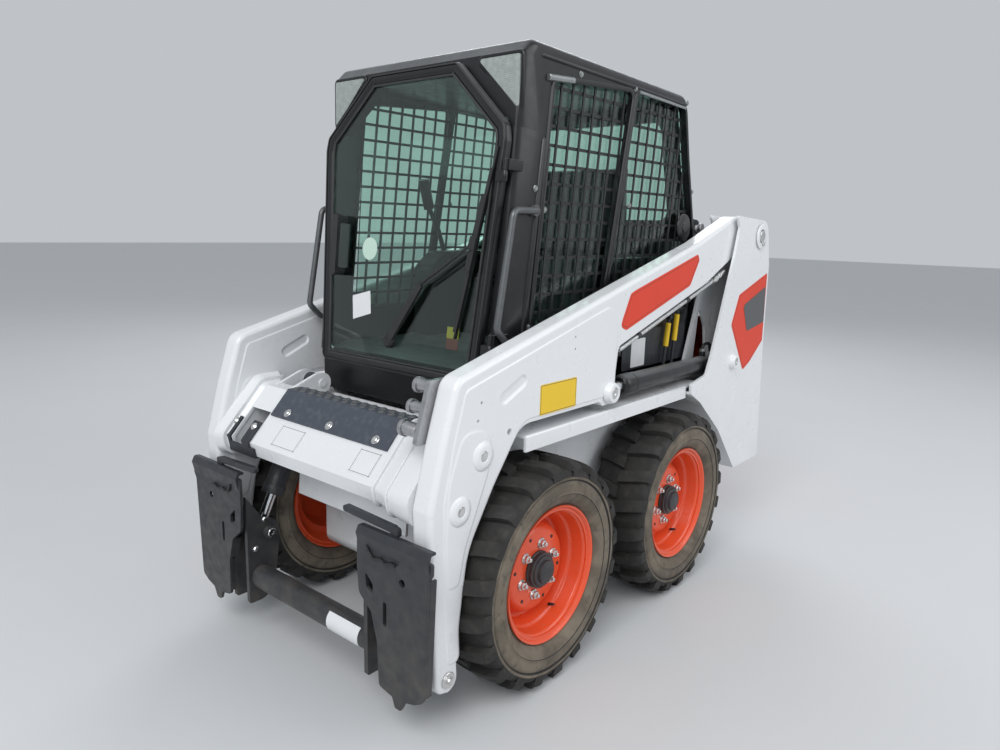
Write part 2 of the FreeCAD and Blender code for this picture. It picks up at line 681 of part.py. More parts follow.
def make_coupler_plate():
    """One face of the quick coupler with its flanges, slots and the ears on the arm's lower end."""
    body = new_body("coupler_plate_left")
    metal = d.face_metal
    face = [(d.face_in, d.face_top), (d.face_out, d.face_top - 8), (d.face_out, 330), (552, 150, 20),
            (470, 122, 6), (452, 92, 6), (430, 92, 6), (420, 118), (d.face_in - 4, d.face_foot, 10),
            (d.face_in - 4, 300), (d.face_in + 26, 370), (d.face_in, 420)]
    slab(body, FRONT, -d.face_y - metal, metal, face)
    window = [(316, 400, 4), (344, 400, 4), (344, 340, 4), (328, 340, 4)]
    notch(body, FRONT, -d.face_y - metal - 1, metal + 2, window)
    notch(body, FRONT, -d.face_y - metal - 1, metal + 2, rectangle(378, 396, 236, 330, 8))
    notch(body, FRONT, -d.face_y - metal - 1, metal + 2, circle(450, 372, 12))
    lip = ((-477, 520), (-487, 546), (-478, 562), (-466, 560))
    roll = shell_strip([(size(y), size(z)) for y, z in lip], 8)
    slab(body, SIDE, d.face_in + 6, d.face_out - d.face_in - 6, roll)
    ear = [(d.face_y + 8, 140, 10), (d.pin_y - 20, 127, 8), (d.pin_y + 38, 130, 34), (d.pin_y + 38, 205, 34),
           (-432, 300, 60), (d.face_y + 8, 480)]
    arm_face = d.arm_out - d.arm_width
    for near in (arm_face - 22, arm_face - 52):
        slab(body, SIDE, near, 14, ear)
        notch(body, SIDE, near - 1, 16, circle(d.pin_y, d.pin_z, 19.3))
    return keep("coupler_plate_left", body)


def make_coupler_frame():
    """Inner flanges joined by the cross tube, and the lugs of the tilt cylinder's rod eye."""
    body = new_body("coupler_frame")
    wide = d.face_in + 15
    flange = [(d.face_y + 0.3 + 10, 118, 6), (-392, 118, 50), (-366, 200, 60), (-352, 300, 50),
              (-350, 375, 36), (-410, 398, 40), (d.face_y + 10.3, 480)]
    slab(body, SIDE, -wide, 15, flange)
    slab(body, SIDE, d.face_in, 15, flange)
    slab(body, SIDE, -wide + 2, (wide - 2) * 2, circle(-420, 200, d.tube_radius))
    slab(body, SIDE, -d.tilt_x - 22 - 15, 15, flange)
    eye = circle(d.tilt_eye_y, d.tilt_eye_z, d.pin_radius)
    slab(body, SIDE, -d.tilt_x - 22 - 15 - 8, 23, eye)
    slab(body, SIDE, -wide, 30, circle(d.tilt_eye_y, d.tilt_eye_z, d.pin_radius + 8))
    return keep("coupler_frame", body)


def make_lever():
    """Lock lever on top of a coupler face."""
    body = new_body("lock_lever_left")
    slab(body, FRONT, size(460), size(16), [(215, 579, 8), (420, 571, 8), (420, 589, 8), (215, 597, 8)])
    slab(body, FRONT, size(462), size(14), rectangle(404, 432, 562, 587, 8))
    return keep("lock_lever_left", body)


def cylinder_pair(name, x, foot, eye, bore, rod, barrel):
    """A hydraulic cylinder in the side plane x: barrel with its base eye, and rod with its rod eye."""
    length = math.dist([float(c) for c in foot], [float(c) for c in eye])
    along = (*foot, *eye)
    tube_part = rod_between(name + "_tube", x, *along, 24, barrel - 24, bore / 2)
    gland = rod_between(name + "_gland", x, *along, float(barrel) - 30, size(30), bore / 2 + 4)
    half = d.eye_width / 2
    base_eye = cross_bar(name + "_base_eye", x - half, x + half, *foot, d.eye_radius)
    base_bore = cross_bar(name + "_base_bore", x - half - 1, x + half + 1, *foot, d.pin_radius + 0.3)
    reach = size(length + 96 - float(barrel))
    shaft = rod_between(name + "_shaft", x, *along, float(barrel) - 110, reach, rod / 2)
    room = rod_between(name + "_room", x, *along, float(barrel) - 130, size(160), rod / 2 + 0.3)
    rod_eye = cross_bar(name + "_rod_eye", x - half, x + half, *eye, d.eye_radius)
    rod_bore = cross_bar(name + "_rod_bore", x - half - 1, x + half + 1, *eye, d.pin_radius + 0.3)
    barrel_part = cut(name + "_barrel", fused(name + "_barrel_whole", tube_part, gland, base_eye),
                      fused(name + "_barrel_holes", base_bore, room))
    rod_part = cut(name + "_rod", fused(name + "_rod_whole", shaft, rod_eye), rod_bore)
    return barrel_part, rod_part


def faceted(name, rings, sides):
    """A many-sided drum with flat faces about the x axis, through rings (x, radius to its corners)."""
    turns = [2 * math.pi * side / sides for side in range(sides)]
    rows = []
    for x, radius in rings:
        reach = float(radius)
        rows.append([Vector(float(x), reach * math.sin(turn), reach * math.cos(turn)) for turn in turns])
    outlines = [rows[0], rows[-1]]
    for low, high in zip(rows, rows[1:]):
        outlines += [[low[i - 1], low[i], high[i], high[i - 1]] for i in range(sides)]
    faces = [Part.Face(Part.makePolygon(outline + outline[:1])) for outline in outlines]
    drum = doc.addObject("Part::Feature", name)
    drum.Shape = Part.Solid(Part.Shell(faces))
    if drum.Shape.Volume < 0:
        drum.Shape = drum.Shape.reversed()
    return drum


# A lug's sections: across the tread from its middle, drop of its top under the tyre radius, and its front
# edge along the tread. Its rear edge is a lug width behind.
LUG = [(3, 0, -2), (108, 15, 25)]
LUG_DRAFT = 4


def make_lug(hand, turn):
    """One bar of the tread on one side of its middle, leaning out to its foot, at its turn."""
    sections = []
    radius = float(d.wheel_radius)
    foot = radius - float(d.tread_depth) - 14
    for across, drop, front in LUG:
        rear = front - float(d.lug_width)
        top = radius - drop
        corners = ((foot, front + LUG_DRAFT), (top, front), (top, rear), (foot, rear - LUG_DRAFT))
        section = []
        for reach, along in corners:
            angle = turn - along / radius
            x = float(d.track_half) + hand * across
            section.append(Vector(x, -reach * math.sin(angle), reach * math.cos(angle)))
        sections.append(section)
    outlines = [sections[0][:3], [sections[0][i] for i in (0, 2, 3)],
                sections[-1][:3], [sections[-1][i] for i in (0, 2, 3)]]
    for near, far in zip(sections, sections[1:]):
        for i in range(4):
            outlines += [[near[i - 1], near[i], far[i]], [near[i - 1], far[i], far[i - 1]]]
    faces = [Part.Face(Part.makePolygon(outline + outline[:1])) for outline in outlines]
    lug = Part.Solid(Part.Shell(faces))
    return lug if lug.Volume > 0 else lug.reversed()


def make_tyre():
    """The front left tyre: a carcass with bars that meet in a broken chevron."""
    sides, bars = 40, 20
    radius = d.wheel_radius - d.tread_depth
    half = d.tyre_width / 2
    centre = d.track_half
    bead = d.rim_width / 2 - 11.3
    flank = [(bead, d.bead_radius + 2), (bead, d.flange_radius + 2), (half, radius - 58),
             (half * 0.85, radius - 3)]
    rings = [(centre - x, r) for x, r in flank] + [(centre + x, r) for x, r in reversed(flank)]
    corner = 1 / math.cos(math.pi / sides)
    carcass = faceted("carcass", rings, sides)
    bore = faceted("bead", [(centre - half - 20, (d.bead_radius + 0.3) * corner),
                            (centre + half + 20, (d.bead_radius + 0.3) * corner)], sides)
    lugs = []
    for hand, shift in ((1, 0), (-1, 0.5)):
        for i in range(bars):
            lugs.append(make_lug(hand, 2 * math.pi * ((i + shift) / bars + 0.5 / sides)))
    whole = doc.addObject("Part::Feature", "tyre_whole")
    whole.Shape = carcass.Shape.fuse(lugs)
    return cut("tyre_master", whole, bore)


def make_rim():
    """The front left rim: barrel with two flanges, dished disc, hub with its nose, and wheel nuts."""
    sides = 32
    corner = 1 / math.cos(math.pi / sides)
    centre, half, metal = d.track_half, d.rim_width / 2, d.rim_metal
    seat = d.bead_radius - 1
    outer = faceted("rim_outer", [(centre - half, d.flange_radius), (centre - half + 10, d.flange_radius),
                                  (centre - half + 11, seat), (centre + half - 11, seat),
                                  (centre + half - 10, d.flange_radius),
                                  (centre + half, d.flange_radius)], sides)
    disc = centre - d.disc_inset
    dish = [(disc + 22, 60), (disc + 14, d.well_radius - 24), (disc, d.well_radius),
            (centre + half - 14, d.bead_radius - metal - 4), (centre + half + 1, d.flange_radius - metal)]
    hollow_out = faceted("rim_hollow_out", dish, sides)
    back = [(centre - half - 1, d.flange_radius - metal), (centre - half + 14, d.bead_radius - metal - 4),
            (disc - metal * 2, d.well_radius), (disc - metal, d.well_radius - 10),
            (disc + 13 - metal, 110), (disc + 14 - metal, 60)]
    hollow_in = faceted("rim_hollow_in", back, sides)
    shell = cut("rim_shell", outer, fused("rim_hollows", hollow_out, hollow_in))
    return shell, disc


def make_wheel_parts():
    """Rim, hub and nuts as one piece, and the tyre, for the front left wheel at the axle's height."""
    tyre = make_tyre()
    shell, disc = make_rim()
    hub_rows = [(disc - 24, d.hub_radius), (disc + 34, d.hub_radius), (disc + 40, d.hub_radius - 8),
                (disc + 60, d.hub_radius - 10), (disc + 66, d.hub_radius - 18), (disc + d.hub_reach, 26)]
    hub = faceted("hub_drum", hub_rows, 24)
    face = cross_bar("hub_face", disc - 6, disc + 16, size(0), size(0), size(118))
    nuts = []
    for i in range(6):
        nut = doc.addObject("Part::Prism", f"wheel_nut{i}")
        nut.Polygon = 6
        nut.Circumradius = 14
        nut.Height = 16
        angle = math.radians(i * 60 + 15)
        spot = Vector(float(disc) + 16, 86 * math.cos(angle), 86 * math.sin(angle))
        nut.Placement = Placement(spot, Rotation(Vector(0, 1, 0), 90))
        bind(nut, "Placement.Base.x", disc + 16)
        nuts.append(nut)
    solid = fused("rim_solid", shell, face, hub, *nuts)
    bore = cross_bar("hub_bore", disc - 40, disc - 26 + 71, size(0), size(0), d.hub_radius / 2 + 0.3)
    return cut("rim_master", solid, bore), tyre


def place_wheels():
    """The four wheels: the same rim and tyre, mirrored to the right and moved to the rear axle."""
    rim, tyre = make_wheel_parts()
    for part, master in (("rim", rim), ("tyre", tyre)):
        for end, y in (("front", -d.axle_ahead), ("rear", d.wheelbase - d.axle_ahead)):
            copy = doc.addObject("Part::Compound", f"{part}_{end}_left")
            copy.Links = [master]
            bind(copy, "Placement.Base.y", y)
            bind(copy, "Placement.Base.z", d.wheel_radius)
            keep(f"{part}_{end}_left", copy, moved=False)
            other_hand(f"{part}_{end}_right", copy)


DOOR_HINGES = (1010, 1490)
HINGE_HEIGHT = 30


def door_slope():
    """How far the door leans back for each length of height."""
    return Size(math.tan(math.radians(float(d.door_lean))), f"tan({d.door_lean.text})")


def face_y(z):
    """The place of the door's outer face at a height."""
    return d.door_foot_y + door_slope() * (z - d.door_foot_z)


def door_barrel(name, z, start, length, radius):
    """A round bar on the door's hinge axis, from a start above height z on the door's face."""
    foot = (face_y(z), size(z))
    return rod_between(name, d.door_half + d.hinge_radius, *foot, foot[0] + door_slope() * 100, foot[1] + 100,
                       start, size(length), radius)


def make_cab():
    """The cab's shell: side walls with large openings, roof, back with its window, posts and header."""
    body = new_body("cab_shell")
    half, wall = d.cab_half, d.cab_wall
    sill = d.cab_sill
    outline = [(-82, sill, 6), (10, 1812), (44, d.cab_top, 30), (964, 1824, 50), (1009, 1602, 60),
               (1100, 1306, 20), (1100, sill, 6)]
    slab(body, SIDE, -half, half * 2, outline)
    inside = [(-200, sill - 10), (-200, 1796), (946, 1786, 40), (996, 1598, 50), (1088, 1302, 10),
              (1088, sill - 10)]
    notch(body, SIDE, wall - half, (half - wall) * 2, inside)
    front = [(138, 1748, 20), (566, 1778, 20), (424, 1040, 20), (60, 1040, 30)]
    rear = [(598, 1780, 20), (936, 1786, 40), (984, 1602, 50), (1070, 1320, 30), (1060, 1040, 20),
            (456, 1040, 20)]
    for opening in (front, rear):
        notch(body, SIDE, -half - 1, (half + 1) * 2, opening)
    notch(body, FRONT, size(-1200), size(260), rectangle(-310, 310, 1380, 1740, 40))
    post = [(-82, sill), (-12, 1595), (46, 1595), (-28, sill)]
    for near in (-half + wall, half - wall - 34):
        slab(body, SIDE, near, 34, post)
    header = [(-404, 1590), (-404, 1800), (404, 1800), (404, 1590), (372, 1590), (372, 1630), (178, 1768),
              (-178, 1768), (-372, 1630), (-372, 1590)]
    slab(body, FRONT, size(-46), size(38), header)
    slab(body, SIDE, -half + wall, (half - wall) * 2, rectangle(-70, 560, sill + 2, sill + 12))
    for z in DOOR_HINGES:
        lean = door_slope()
        ends = [(face_y(z + up) + reach, z + up - lean * reach)
                for up, reach in ((0.3, 0), (HINGE_HEIGHT, 0), (HINGE_HEIGHT, 40), (0.3, 40))]
        slab(body, SIDE, d.door_half + d.hinge_radius - 4, half - d.door_half - d.hinge_radius + 4, ends)
    for near in (-half + wall, half - wall - 10):
        ear = [(1092, 1302), (d.cab_pivot_y + 30, d.cab_pivot_z - 30, 29),
               (d.cab_pivot_y + 30, d.cab_pivot_z + 30, 29), (1066, 1390)]
        slab(body, SIDE, near, 10, ear)
        notch(body, SIDE, near - 1, 12, circle(d.cab_pivot_y, d.cab_pivot_z, 12.3))
    hinges = []
    for z in DOOR_HINGES:
        hinges.append(door_barrel("cab_knuckle", z, 0.3, HINGE_HEIGHT - 0.3, d.hinge_radius))
        hinges.append(door_barrel("cab_hinge_pin", z, -HINGE_HEIGHT, HINGE_HEIGHT * 1.5, d.hinge_pin))
    return keep("cab_shell", fused("cab_shell_whole", body, *hinges))


def make_screen():
    """A side screen over the wall's openings: leaning uprights in front and cross bars behind them."""
    inner = d.cab_half - d.cab_wall
    metal, bar, lean = d.screen_metal, d.screen_bar, 84
    across = new_body("screen_across")
    rungs = []
    for row in range(14):
        z = 1030 + 54 * row
        rungs.append(rectangle(44 + (z - 1030) * 0.1, 1072 - max(z - 1300, 0) * 0.32, z, z + bar))
    slab(across, SIDE, inner - metal * 2, metal, *rungs)
    upright = new_body("screen_upright")
    bars = []
    for column in range(17):
        foot = 50 + 58 * column
        over = max(foot - 840, 0)
        top = 1780 - over * 2.8
        head = foot + lean * (top - 1026) / 762
        bars.append([(foot, 1026), (foot + bar, 1026), (head + bar, top), (head, top)])
    slab(upright, SIDE, inner - metal, metal, *bars)
    screen = doc.addObject("Part::Compound", "screen_left")
    screen.Links = [across, upright]
    return keep("screen_left", screen)


def make_seat_box():
    """The step over the drive behind the footwell, with the two side consoles."""
    body = new_body("seat_box")
    half = d.cab_half - d.cab_wall - d.screen_metal * 2 - d.glass - 3
    low = d.cab_sill + 12.3
    slab(body, SIDE, -half, half * 2, [(520, low), (1080, low), (1080, 1130, 10), (560, 1130, 40)])
    for near in (-half, half - 90):
        console = [(360, low), (1080, low), (1080, 1240, 20), (440, 1240, 60), (360, 1180, 40)]
        slab(body, SIDE, near, 90, console)
    return keep("seat_box", body)


def make_seat():
    """The seat: cushion and backrest."""
    body = new_body("seat")
    cushion = [(530, 1130.3, 20), (960, 1130.3, 20), (975, 1210, 30), (540, 1240, 40)]
    slab(body, SIDE, -235, 470, cushion)
    back = [(870, 1200, 20), (975, 1200, 20), (950, 1590, 40), (880, 1600, 50)]
    slab(body, SIDE, -220, 440, back)
    return keep("seat", body)


def make_controls():
    """The two steering levers that stand up from the consoles."""
    for side, name in ((1, "control_left"), (-1, "control_right")):
        if side < 0:
            other_hand(name, NODES["control_left"])
            continue
        points = [Vector(340, 470, 1243.7), Vector(340, 440, 1320), Vector(330, 380, 1400)]
        stick = tube("control_stick", points, 9, 60)
        grip = rod_between("control_grip", 330, 380, 1398, 350, 1500, 0, size(110), size(20))
        keep("control_left", fused("control_left", stick, grip))


def make_grab_handle():
    """The bent tube beside the door."""
    x = float(d.cab_half) + 11
    points = [Vector(x, y, z) for y, z in ((61, 1386), (-44, 1384), (-106, 1058), (-60, 1013), (0, 1013))]
    bent = tube("grab_tube", points, 10, 24)
    upper = cross_bar("grab_upper_foot", d.cab_half, d.cab_half + 14, size(55), size(1386), size(16))
    lower = cross_bar("grab_lower_foot", d.cab_half, d.cab_half + 14, size(-4), size(1013), size(16))
    keep("grab_handle_left", fused("grab_handle_left_whole", bent, upper, lower))


def make_lens():
    """The corner lamp's lens beside the door's top corner."""
    body = new_body("corner_lens_left")
    slab(body, FRONT, size(-8), size(8), [(246, 1800, 6), (398, 1800, 6), (400, 1655, 6)])
    return keep("corner_lens_left", body)


def leaning(label, thing):
    """Registers a piece drawn in the door's own upright plane, leaned back with the door."""
    thing.Label = label
    thing.Placement = Placement(Vector(0, 0, 0), Rotation(Vector(-1, 0, 0), float(d.door_lean)))
    bind(thing, "Placement.Rotation.Angle", d.door_lean)
    bind(thing, "Placement.Base.y", d.door_foot_y - d.axle_ahead)
    bind(thing, "Placement.Base.z", d.door_foot_z)
    NODES[label] = thing
    return thing


def door_outline(inset):
    """The door's outline in its own plane, a distance in from its edge."""
    half, top = d.door_half - inset, d.door_height - inset
    foot = size(inset) + 0
    return [(-half + 44, foot, 24), (half - 44, foot, 24), (half, 700, 60), (half - 8, 742, 30),
            (186 - inset * 0.4, top, 20), (-186 + inset * 0.4, top, 20), (-half + 8, 742, 30),
            (-half, 700, 60)]


def make_door():
    """The front door: a frame round one large pane."""
    body = new_body("door_frame")
    slab(body, FRONT, -d.door_thick, d.door_thick, door_outline(0))
    notch(body, FRONT, -d.door_thick - 1, d.door_thick + 2, door_outline(d.door_frame))
    upright = math.cos(math.radians(float(d.door_lean)))
    for z in DOOR_HINGES:
        low = (z - d.door_foot_z) / upright - HINGE_HEIGHT
        reach = d.door_half + d.hinge_radius
        slab(body, FRONT, size(-8), size(16), rectangle(d.door_half - 14, reach, low, low + HINGE_HEIGHT))
        slab(body, PLAN, low, size(HINGE_HEIGHT), circle(reach, 0, d.hinge_radius))
        notch(body, PLAN, low - 1, size(HINGE_HEIGHT + 2), circle(reach, 0, d.hinge_pin + 0.3))
    leaning("door_frame", body)
    pane = new_body("door_glass")
    slab(pane, FRONT, -d.glass - 8, d.glass, door_outline(d.door_frame + 0.3))
    leaning("door_glass", pane)
    latch = new_body("door_latch")
    pane_front = size(-7.7)
    slab(latch, FRONT, pane_front, size(41.7), rectangle(-294, -266, 290, 488, 12))
    notch(latch, FRONT, pane_front - 1, size(30.7), rectangle(-304, -256, 316, 462, 8))
    leaning("door_latch", latch)
    wiper = new_body("wiper")
    slab(wiper, FRONT, pane_front, size(31.7), circle(236, 430, 16))
    slab(wiper, FRONT, size(18), size(6), [(228, 430, 4), (244, 430, 4), (330, 560, 4), (322, 566, 4)])
    slab(wiper, FRONT, pane_front, size(31.7), [(332, 640, 3), (340, 640, 3), (248, 60, 3), (240, 60, 3)])
    leaning("wiper", wiper)


def make_glass():
    """The rear window and the side windows behind the screens."""
    rear = new_body("rear_window")
    inner = [(size(y), size(z)) for y, z in ((1072.6, 1350), (995.7, 1598), (953, 1758))]
    slab(rear, SIDE, size(-330), size(660), shell_strip(inner, d.glass, below=False))
    keep("rear_window", rear)
    side = new_body("side_window_left")
    far = d.cab_half - d.cab_wall - d.screen_metal * 2
    pane = [(72, 1030, 20), (128, 1780, 20), (930, 1784, 30), (978, 1600, 30), (1062, 1320, 20),
            (1062, 1030, 20)]
    slab(side, SIDE, far - d.glass - 0.3, d.glass, pane)
    keep("side_window_left", side)


def make_roof_trim():
    """The raised panel on the roof."""
    body = new_body("roof_panel")
    top = d.cab_top
    panel = [(110, top - 1.2), (120, top + 12, 10), (860, top + 2, 10), (900, top - 19.6)]
    slab(body, SIDE, size(-330), size(660), panel)
    return keep("roof_panel", body)


make_tub()
make_axles("axles_front", size(0))
make_axles("axles_rear", d.wheelbase)
other_hand("ledge_right", make_deck())
other_hand("tower_right", make_tower())
make_bulkhead()
make_engine()
make_cooler()
make_tailgate()
make_gate_hinges()
make_hood()
make_cab_base()
other_hand("arm_right", make_arm())
make_crossmember()
make_skirt()
make_tread()
make_hose_bracket()
make_couplers()
other_hand("coupler_plate_right", make_coupler_plate())
make_coupler_frame()
other_hand("lock_lever_right", make_lever())
lift_x = d.arm_out - d.arm_width / 2
lift_foot, lift_eye = (d.lift_foot_y, d.lift_foot_z), (d.lift_eye_y, d.lift_eye_z)
lift_barrel, lift_rod = cylinder_pair("lift", lift_x, lift_foot, lift_eye, d.lift_bore, d.lift_rod,
                                      d.lift_barrel)
other_hand("lift_barrel_right", keep("lift_barrel_left", lift_barrel))
other_hand("lift_rod_right", keep("lift_rod_left", lift_rod))
tilt_foot, tilt_eye = (d.tilt_foot_y, d.tilt_foot_z), (d.tilt_eye_y, d.tilt_eye_z)
tilt_barrel, tilt_rod = cylinder_pair("tilt", -d.tilt_x, tilt_foot, tilt_eye, d.tilt_bore, d.tilt_rod,
                                      d.tilt_barrel)
keep("tilt_barrel", tilt_barrel)
keep("tilt_rod", tilt_rod)
place_wheels()
make_cab()
other_hand("screen_right", make_screen())
make_seat_box()
make_seat()
make_controls()
make_grab_handle()
other_hand("grab_handle_right", NODES["grab_handle_left"])
other_hand("corner_lens_right", make_lens())
make_door()
make_glass()
other_hand("side_window_right", NODES["side_window_left"])
make_roof_trim()

doc.recompute()
failed = [o.Label for o in doc.Objects if {"Invalid", "Error"} & set(o.State)]
broken = [name for name, thing in NODES.items() if thing.Shape.isNull() or not thing.Shape.isValid()]
if failed or broken:
    raise RuntimeError(f"failed: {failed}; without a valid shape: {broken}")

os.makedirs("parts", exist_ok=True)
whole = FreeCAD.BoundBox()
for name, thing in NODES.items():
    thing.Shape.exportStep(f"parts/{name}.step")
    whole.add(thing.Shape.BoundBox)
print(f"{len(NODES)} nodes, {whole}")
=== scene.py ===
import json
import math

import bmesh
import bpy
from mathutils import Matrix, Vector


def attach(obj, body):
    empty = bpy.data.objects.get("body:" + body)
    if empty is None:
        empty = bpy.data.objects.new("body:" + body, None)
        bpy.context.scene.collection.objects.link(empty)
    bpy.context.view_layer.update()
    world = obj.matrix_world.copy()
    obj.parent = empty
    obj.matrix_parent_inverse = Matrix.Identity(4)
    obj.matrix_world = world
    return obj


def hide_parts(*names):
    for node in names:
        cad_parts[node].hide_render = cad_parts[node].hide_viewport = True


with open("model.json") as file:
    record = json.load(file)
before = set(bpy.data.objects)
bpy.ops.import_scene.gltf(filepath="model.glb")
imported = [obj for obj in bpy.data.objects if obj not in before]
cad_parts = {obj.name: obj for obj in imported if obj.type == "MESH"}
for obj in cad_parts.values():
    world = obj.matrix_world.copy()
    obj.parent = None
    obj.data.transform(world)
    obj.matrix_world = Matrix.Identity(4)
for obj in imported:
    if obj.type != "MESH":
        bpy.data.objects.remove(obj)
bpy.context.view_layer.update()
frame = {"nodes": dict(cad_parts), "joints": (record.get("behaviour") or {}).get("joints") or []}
JOINT = {joint["name"]: joint for joint in frame["joints"]}

# Places are given in the machine's own measure: x to the operator's left, y back from the front axle, z up
# from the ground. Lengths are in metres, apart from the rows in mm().
FRONT_AXLE = JOINT["wheel_front_left_spin"]["pos_m"]
SIDES = (("left", 1), ("right", -1))


def at(x, y, z):
    """A place in the machine's measure, as a place in the row frame."""
    return Vector((x, y + FRONT_AXLE[1], z))


def mm(*rows):
    """Rows of millimetres, as rows of metres."""
    return [tuple(value / 1000 for value in row) for row in rows]


def put(name, data):
    """A new object in the scene."""
    piece = bpy.data.objects.new(name, data)
    bpy.context.scene.collection.objects.link(piece)
    return piece


class Surface:
    """A procedural material: a Principled shader with textures laid over the object's own coordinates."""

    def __init__(self, name, color, rough, metallic=0.0, **sockets):
        self.material = bpy.data.materials.new(name)
        self.material.use_nodes = True
        self.tree = self.material.node_tree
        self.shader = self.tree.nodes["Principled BSDF"]
        self.place = self.add("TexCoord", "Object", {})
        self.color = self.add("RGB", 0, {})
        self.color.default_value = (*color, 1)
        values = {"Base Color": (*color, 1), "Roughness": rough, "Metallic": metallic, **sockets}
        for socket, value in values.items():
            self.shader.inputs[socket.replace("_", " ")].default_value = value

    def add(self, kind, output, inputs, **settings):
        """Adds a node and returns its output. Each input is a value or another node's output."""
        node = self.tree.nodes.new("ShaderNode" + kind)
        for setting, value in settings.items():
            setattr(node, setting, value)
        for socket, value in inputs.items():
            if isinstance(value, bpy.types.NodeSocket):
                self.tree.links.new(value, node.inputs[socket])
            else:
                node.inputs[socket].default_value = value
        return node.outputs[output]

    def noise(self, scale, detail, stretch=(1, 1, 1), warp=0.0):
        place = self.add("Mapping", 0, {"Vector": self.place, "Scale": stretch})
        return self.add("TexNoise", "Fac", {"Vector": place, "Scale": scale, "Detail": detail, "Distortion":
            warp})

    def span(self, source, low, high, to_low, to_high):
        """Maps a source from one range of values to another."""
        return self.add("MapRange", 0, dict(enumerate((source, low, high, to_low, to_high))))

    def upward(self, source):
        return self.add("SeparateXYZ", "Z", {0: source})

    def coat(self, amount, color):
        """Lays a colour over what is there, where amount is high."""
        inputs = {"Factor": amount, "A": self.color, "B": (*color, 1)}
        self.color = self.add("Mix", "Result", inputs, data_type="RGBA")
        self.tree.links.new(self.color, self.shader.inputs["Base Color"])
        return self

    def coat_both(self, first, second, color):
        """Lays a colour over what is there, where two amounts are high."""
        return self.coat(self.add("Math", 0, {0: first, 1: second}, operation="MULTIPLY"), color)

    def patches(self, scale, detail, low, high, most, color, least=0.0, **noise):
        """Lays a colour over what is there in cloudy patches."""
        return self.coat(self.span(self.noise(scale, detail, **noise), low, high, least, most), color)

    def dust(self, low, high, most, scale=9.0):
        """Dust that thickens downwards from high to low, in patches."""
        depth = self.span(self.upward(self.place), low, high, most, 0.0)
        return self.coat_both(depth, self.span(self.noise(scale, 7), 0.38, 0.68, 0.25, 1.0), EARTH)

    def painted_top_highlight(self, color):
        """Painted highlight: lightens what faces up, unevenly, as the sky lights it."""
        up = self.span(self.upward(self.add("NewGeometry", "Normal", {})), 0.55, 0.95, 0.0, 0.55)
        return self.coat_both(up, self.span(self.noise(5, 6), 0.3, 0.7, 0.5, 1.0), color)

    def sheen(self, scale, detail, smooth, rough, low=0.3, high=0.7):
        """Lets the roughness wander between two values."""
        source = self.span(self.noise(scale, detail), low, high, smooth, rough)
        self.tree.links.new(source, self.shader.inputs["Roughness"])
        return self

    def bump(self, source, strength, distance):
        """Small relief, on top of any that is there."""
        inputs = {"Strength": strength, "Distance": distance, "Height": source}
        for link in self.shader.inputs["Normal"].links:
            inputs["Normal"] = link.from_socket
        self.tree.links.new(self.add("Bump", 0, inputs), self.shader.inputs["Normal"])
        return self

    def grain(self, scale, detail, strength, distance):
        return self.bump(self.noise(scale, detail), strength, distance)

    def moulded_waves(self):
        waves = {"Vector": self.place, "Scale": 60, "Distortion": 3.0}
        return self.bump(self.add("TexWave", "Fac", waves, bands_direction="Z"), 0.25, 0.002)

    def leather(self):
        cells = self.add("TexVoronoi", "Distance", {"Vector": self.place, "Scale": 420})
        return self.bump(cells, 0.35, 0.0008)


def shade(color, share, more=0.0):
    return [part * share + more for part in color]


def steel(name, color, rough, metallic=1.0):
    metal = Surface(name, color, rough, metallic).patches(60, 6, 0.45, 0.8, 0.5, shade(color, 0.6))
    return metal.sheen(90, 4, rough * 0.8, rough * 1.3).material


def plastic(name, color, rough):
    moulded = Surface(name, color, rough).patches(20, 5, 0.45, 0.8, 0.4, shade(color, 1.5, 0.01))
    return moulded.grain(700, 2, 0.25, 0.0004).material


def film_color(name, color, rough=0.38):
    film = Surface(name, color, rough).patches(10, 5, 0.45, 0.8, 0.18, shade(color, 0.75))
    return film.grain(90, 3, 0.05, 0.0005).material


EARTH = (0.20, 0.17, 0.13)
WHITE = (Surface("white_paint", (0.80, 0.815, 0.83), 0.30, Coat_Weight=0.35, Coat_Roughness=0.12)
         .patches(2.5, 3, 0.35, 0.75, 0.10, (0.66, 0.67, 0.68)).dust(0.12, 0.80, 0.16)
         .sheen(14, 6, 0.24, 0.38).grain(260, 2, 0.10, 0.0006).material)
# Charcoal powder coat. Lighter streaks along its length are painted highlights of the light it catches, and
# what faces up is painted pale as a highlight of the sky, most on the roof.
CAB = (Surface("cab_paint", (0.0055, 0.0060, 0.0075), 0.36, Coat_Weight=0.12, Coat_Roughness=0.12)
       .patches(10, 6, 0.45, 0.75, 0.35, (0.018, 0.0195, 0.022), stretch=(1, 1, 0.12))
       .painted_top_highlight((0.40, 0.415, 0.425)).sheen(30, 5, 0.28, 0.42).grain(420, 2, 0.18, 0.0005).material)
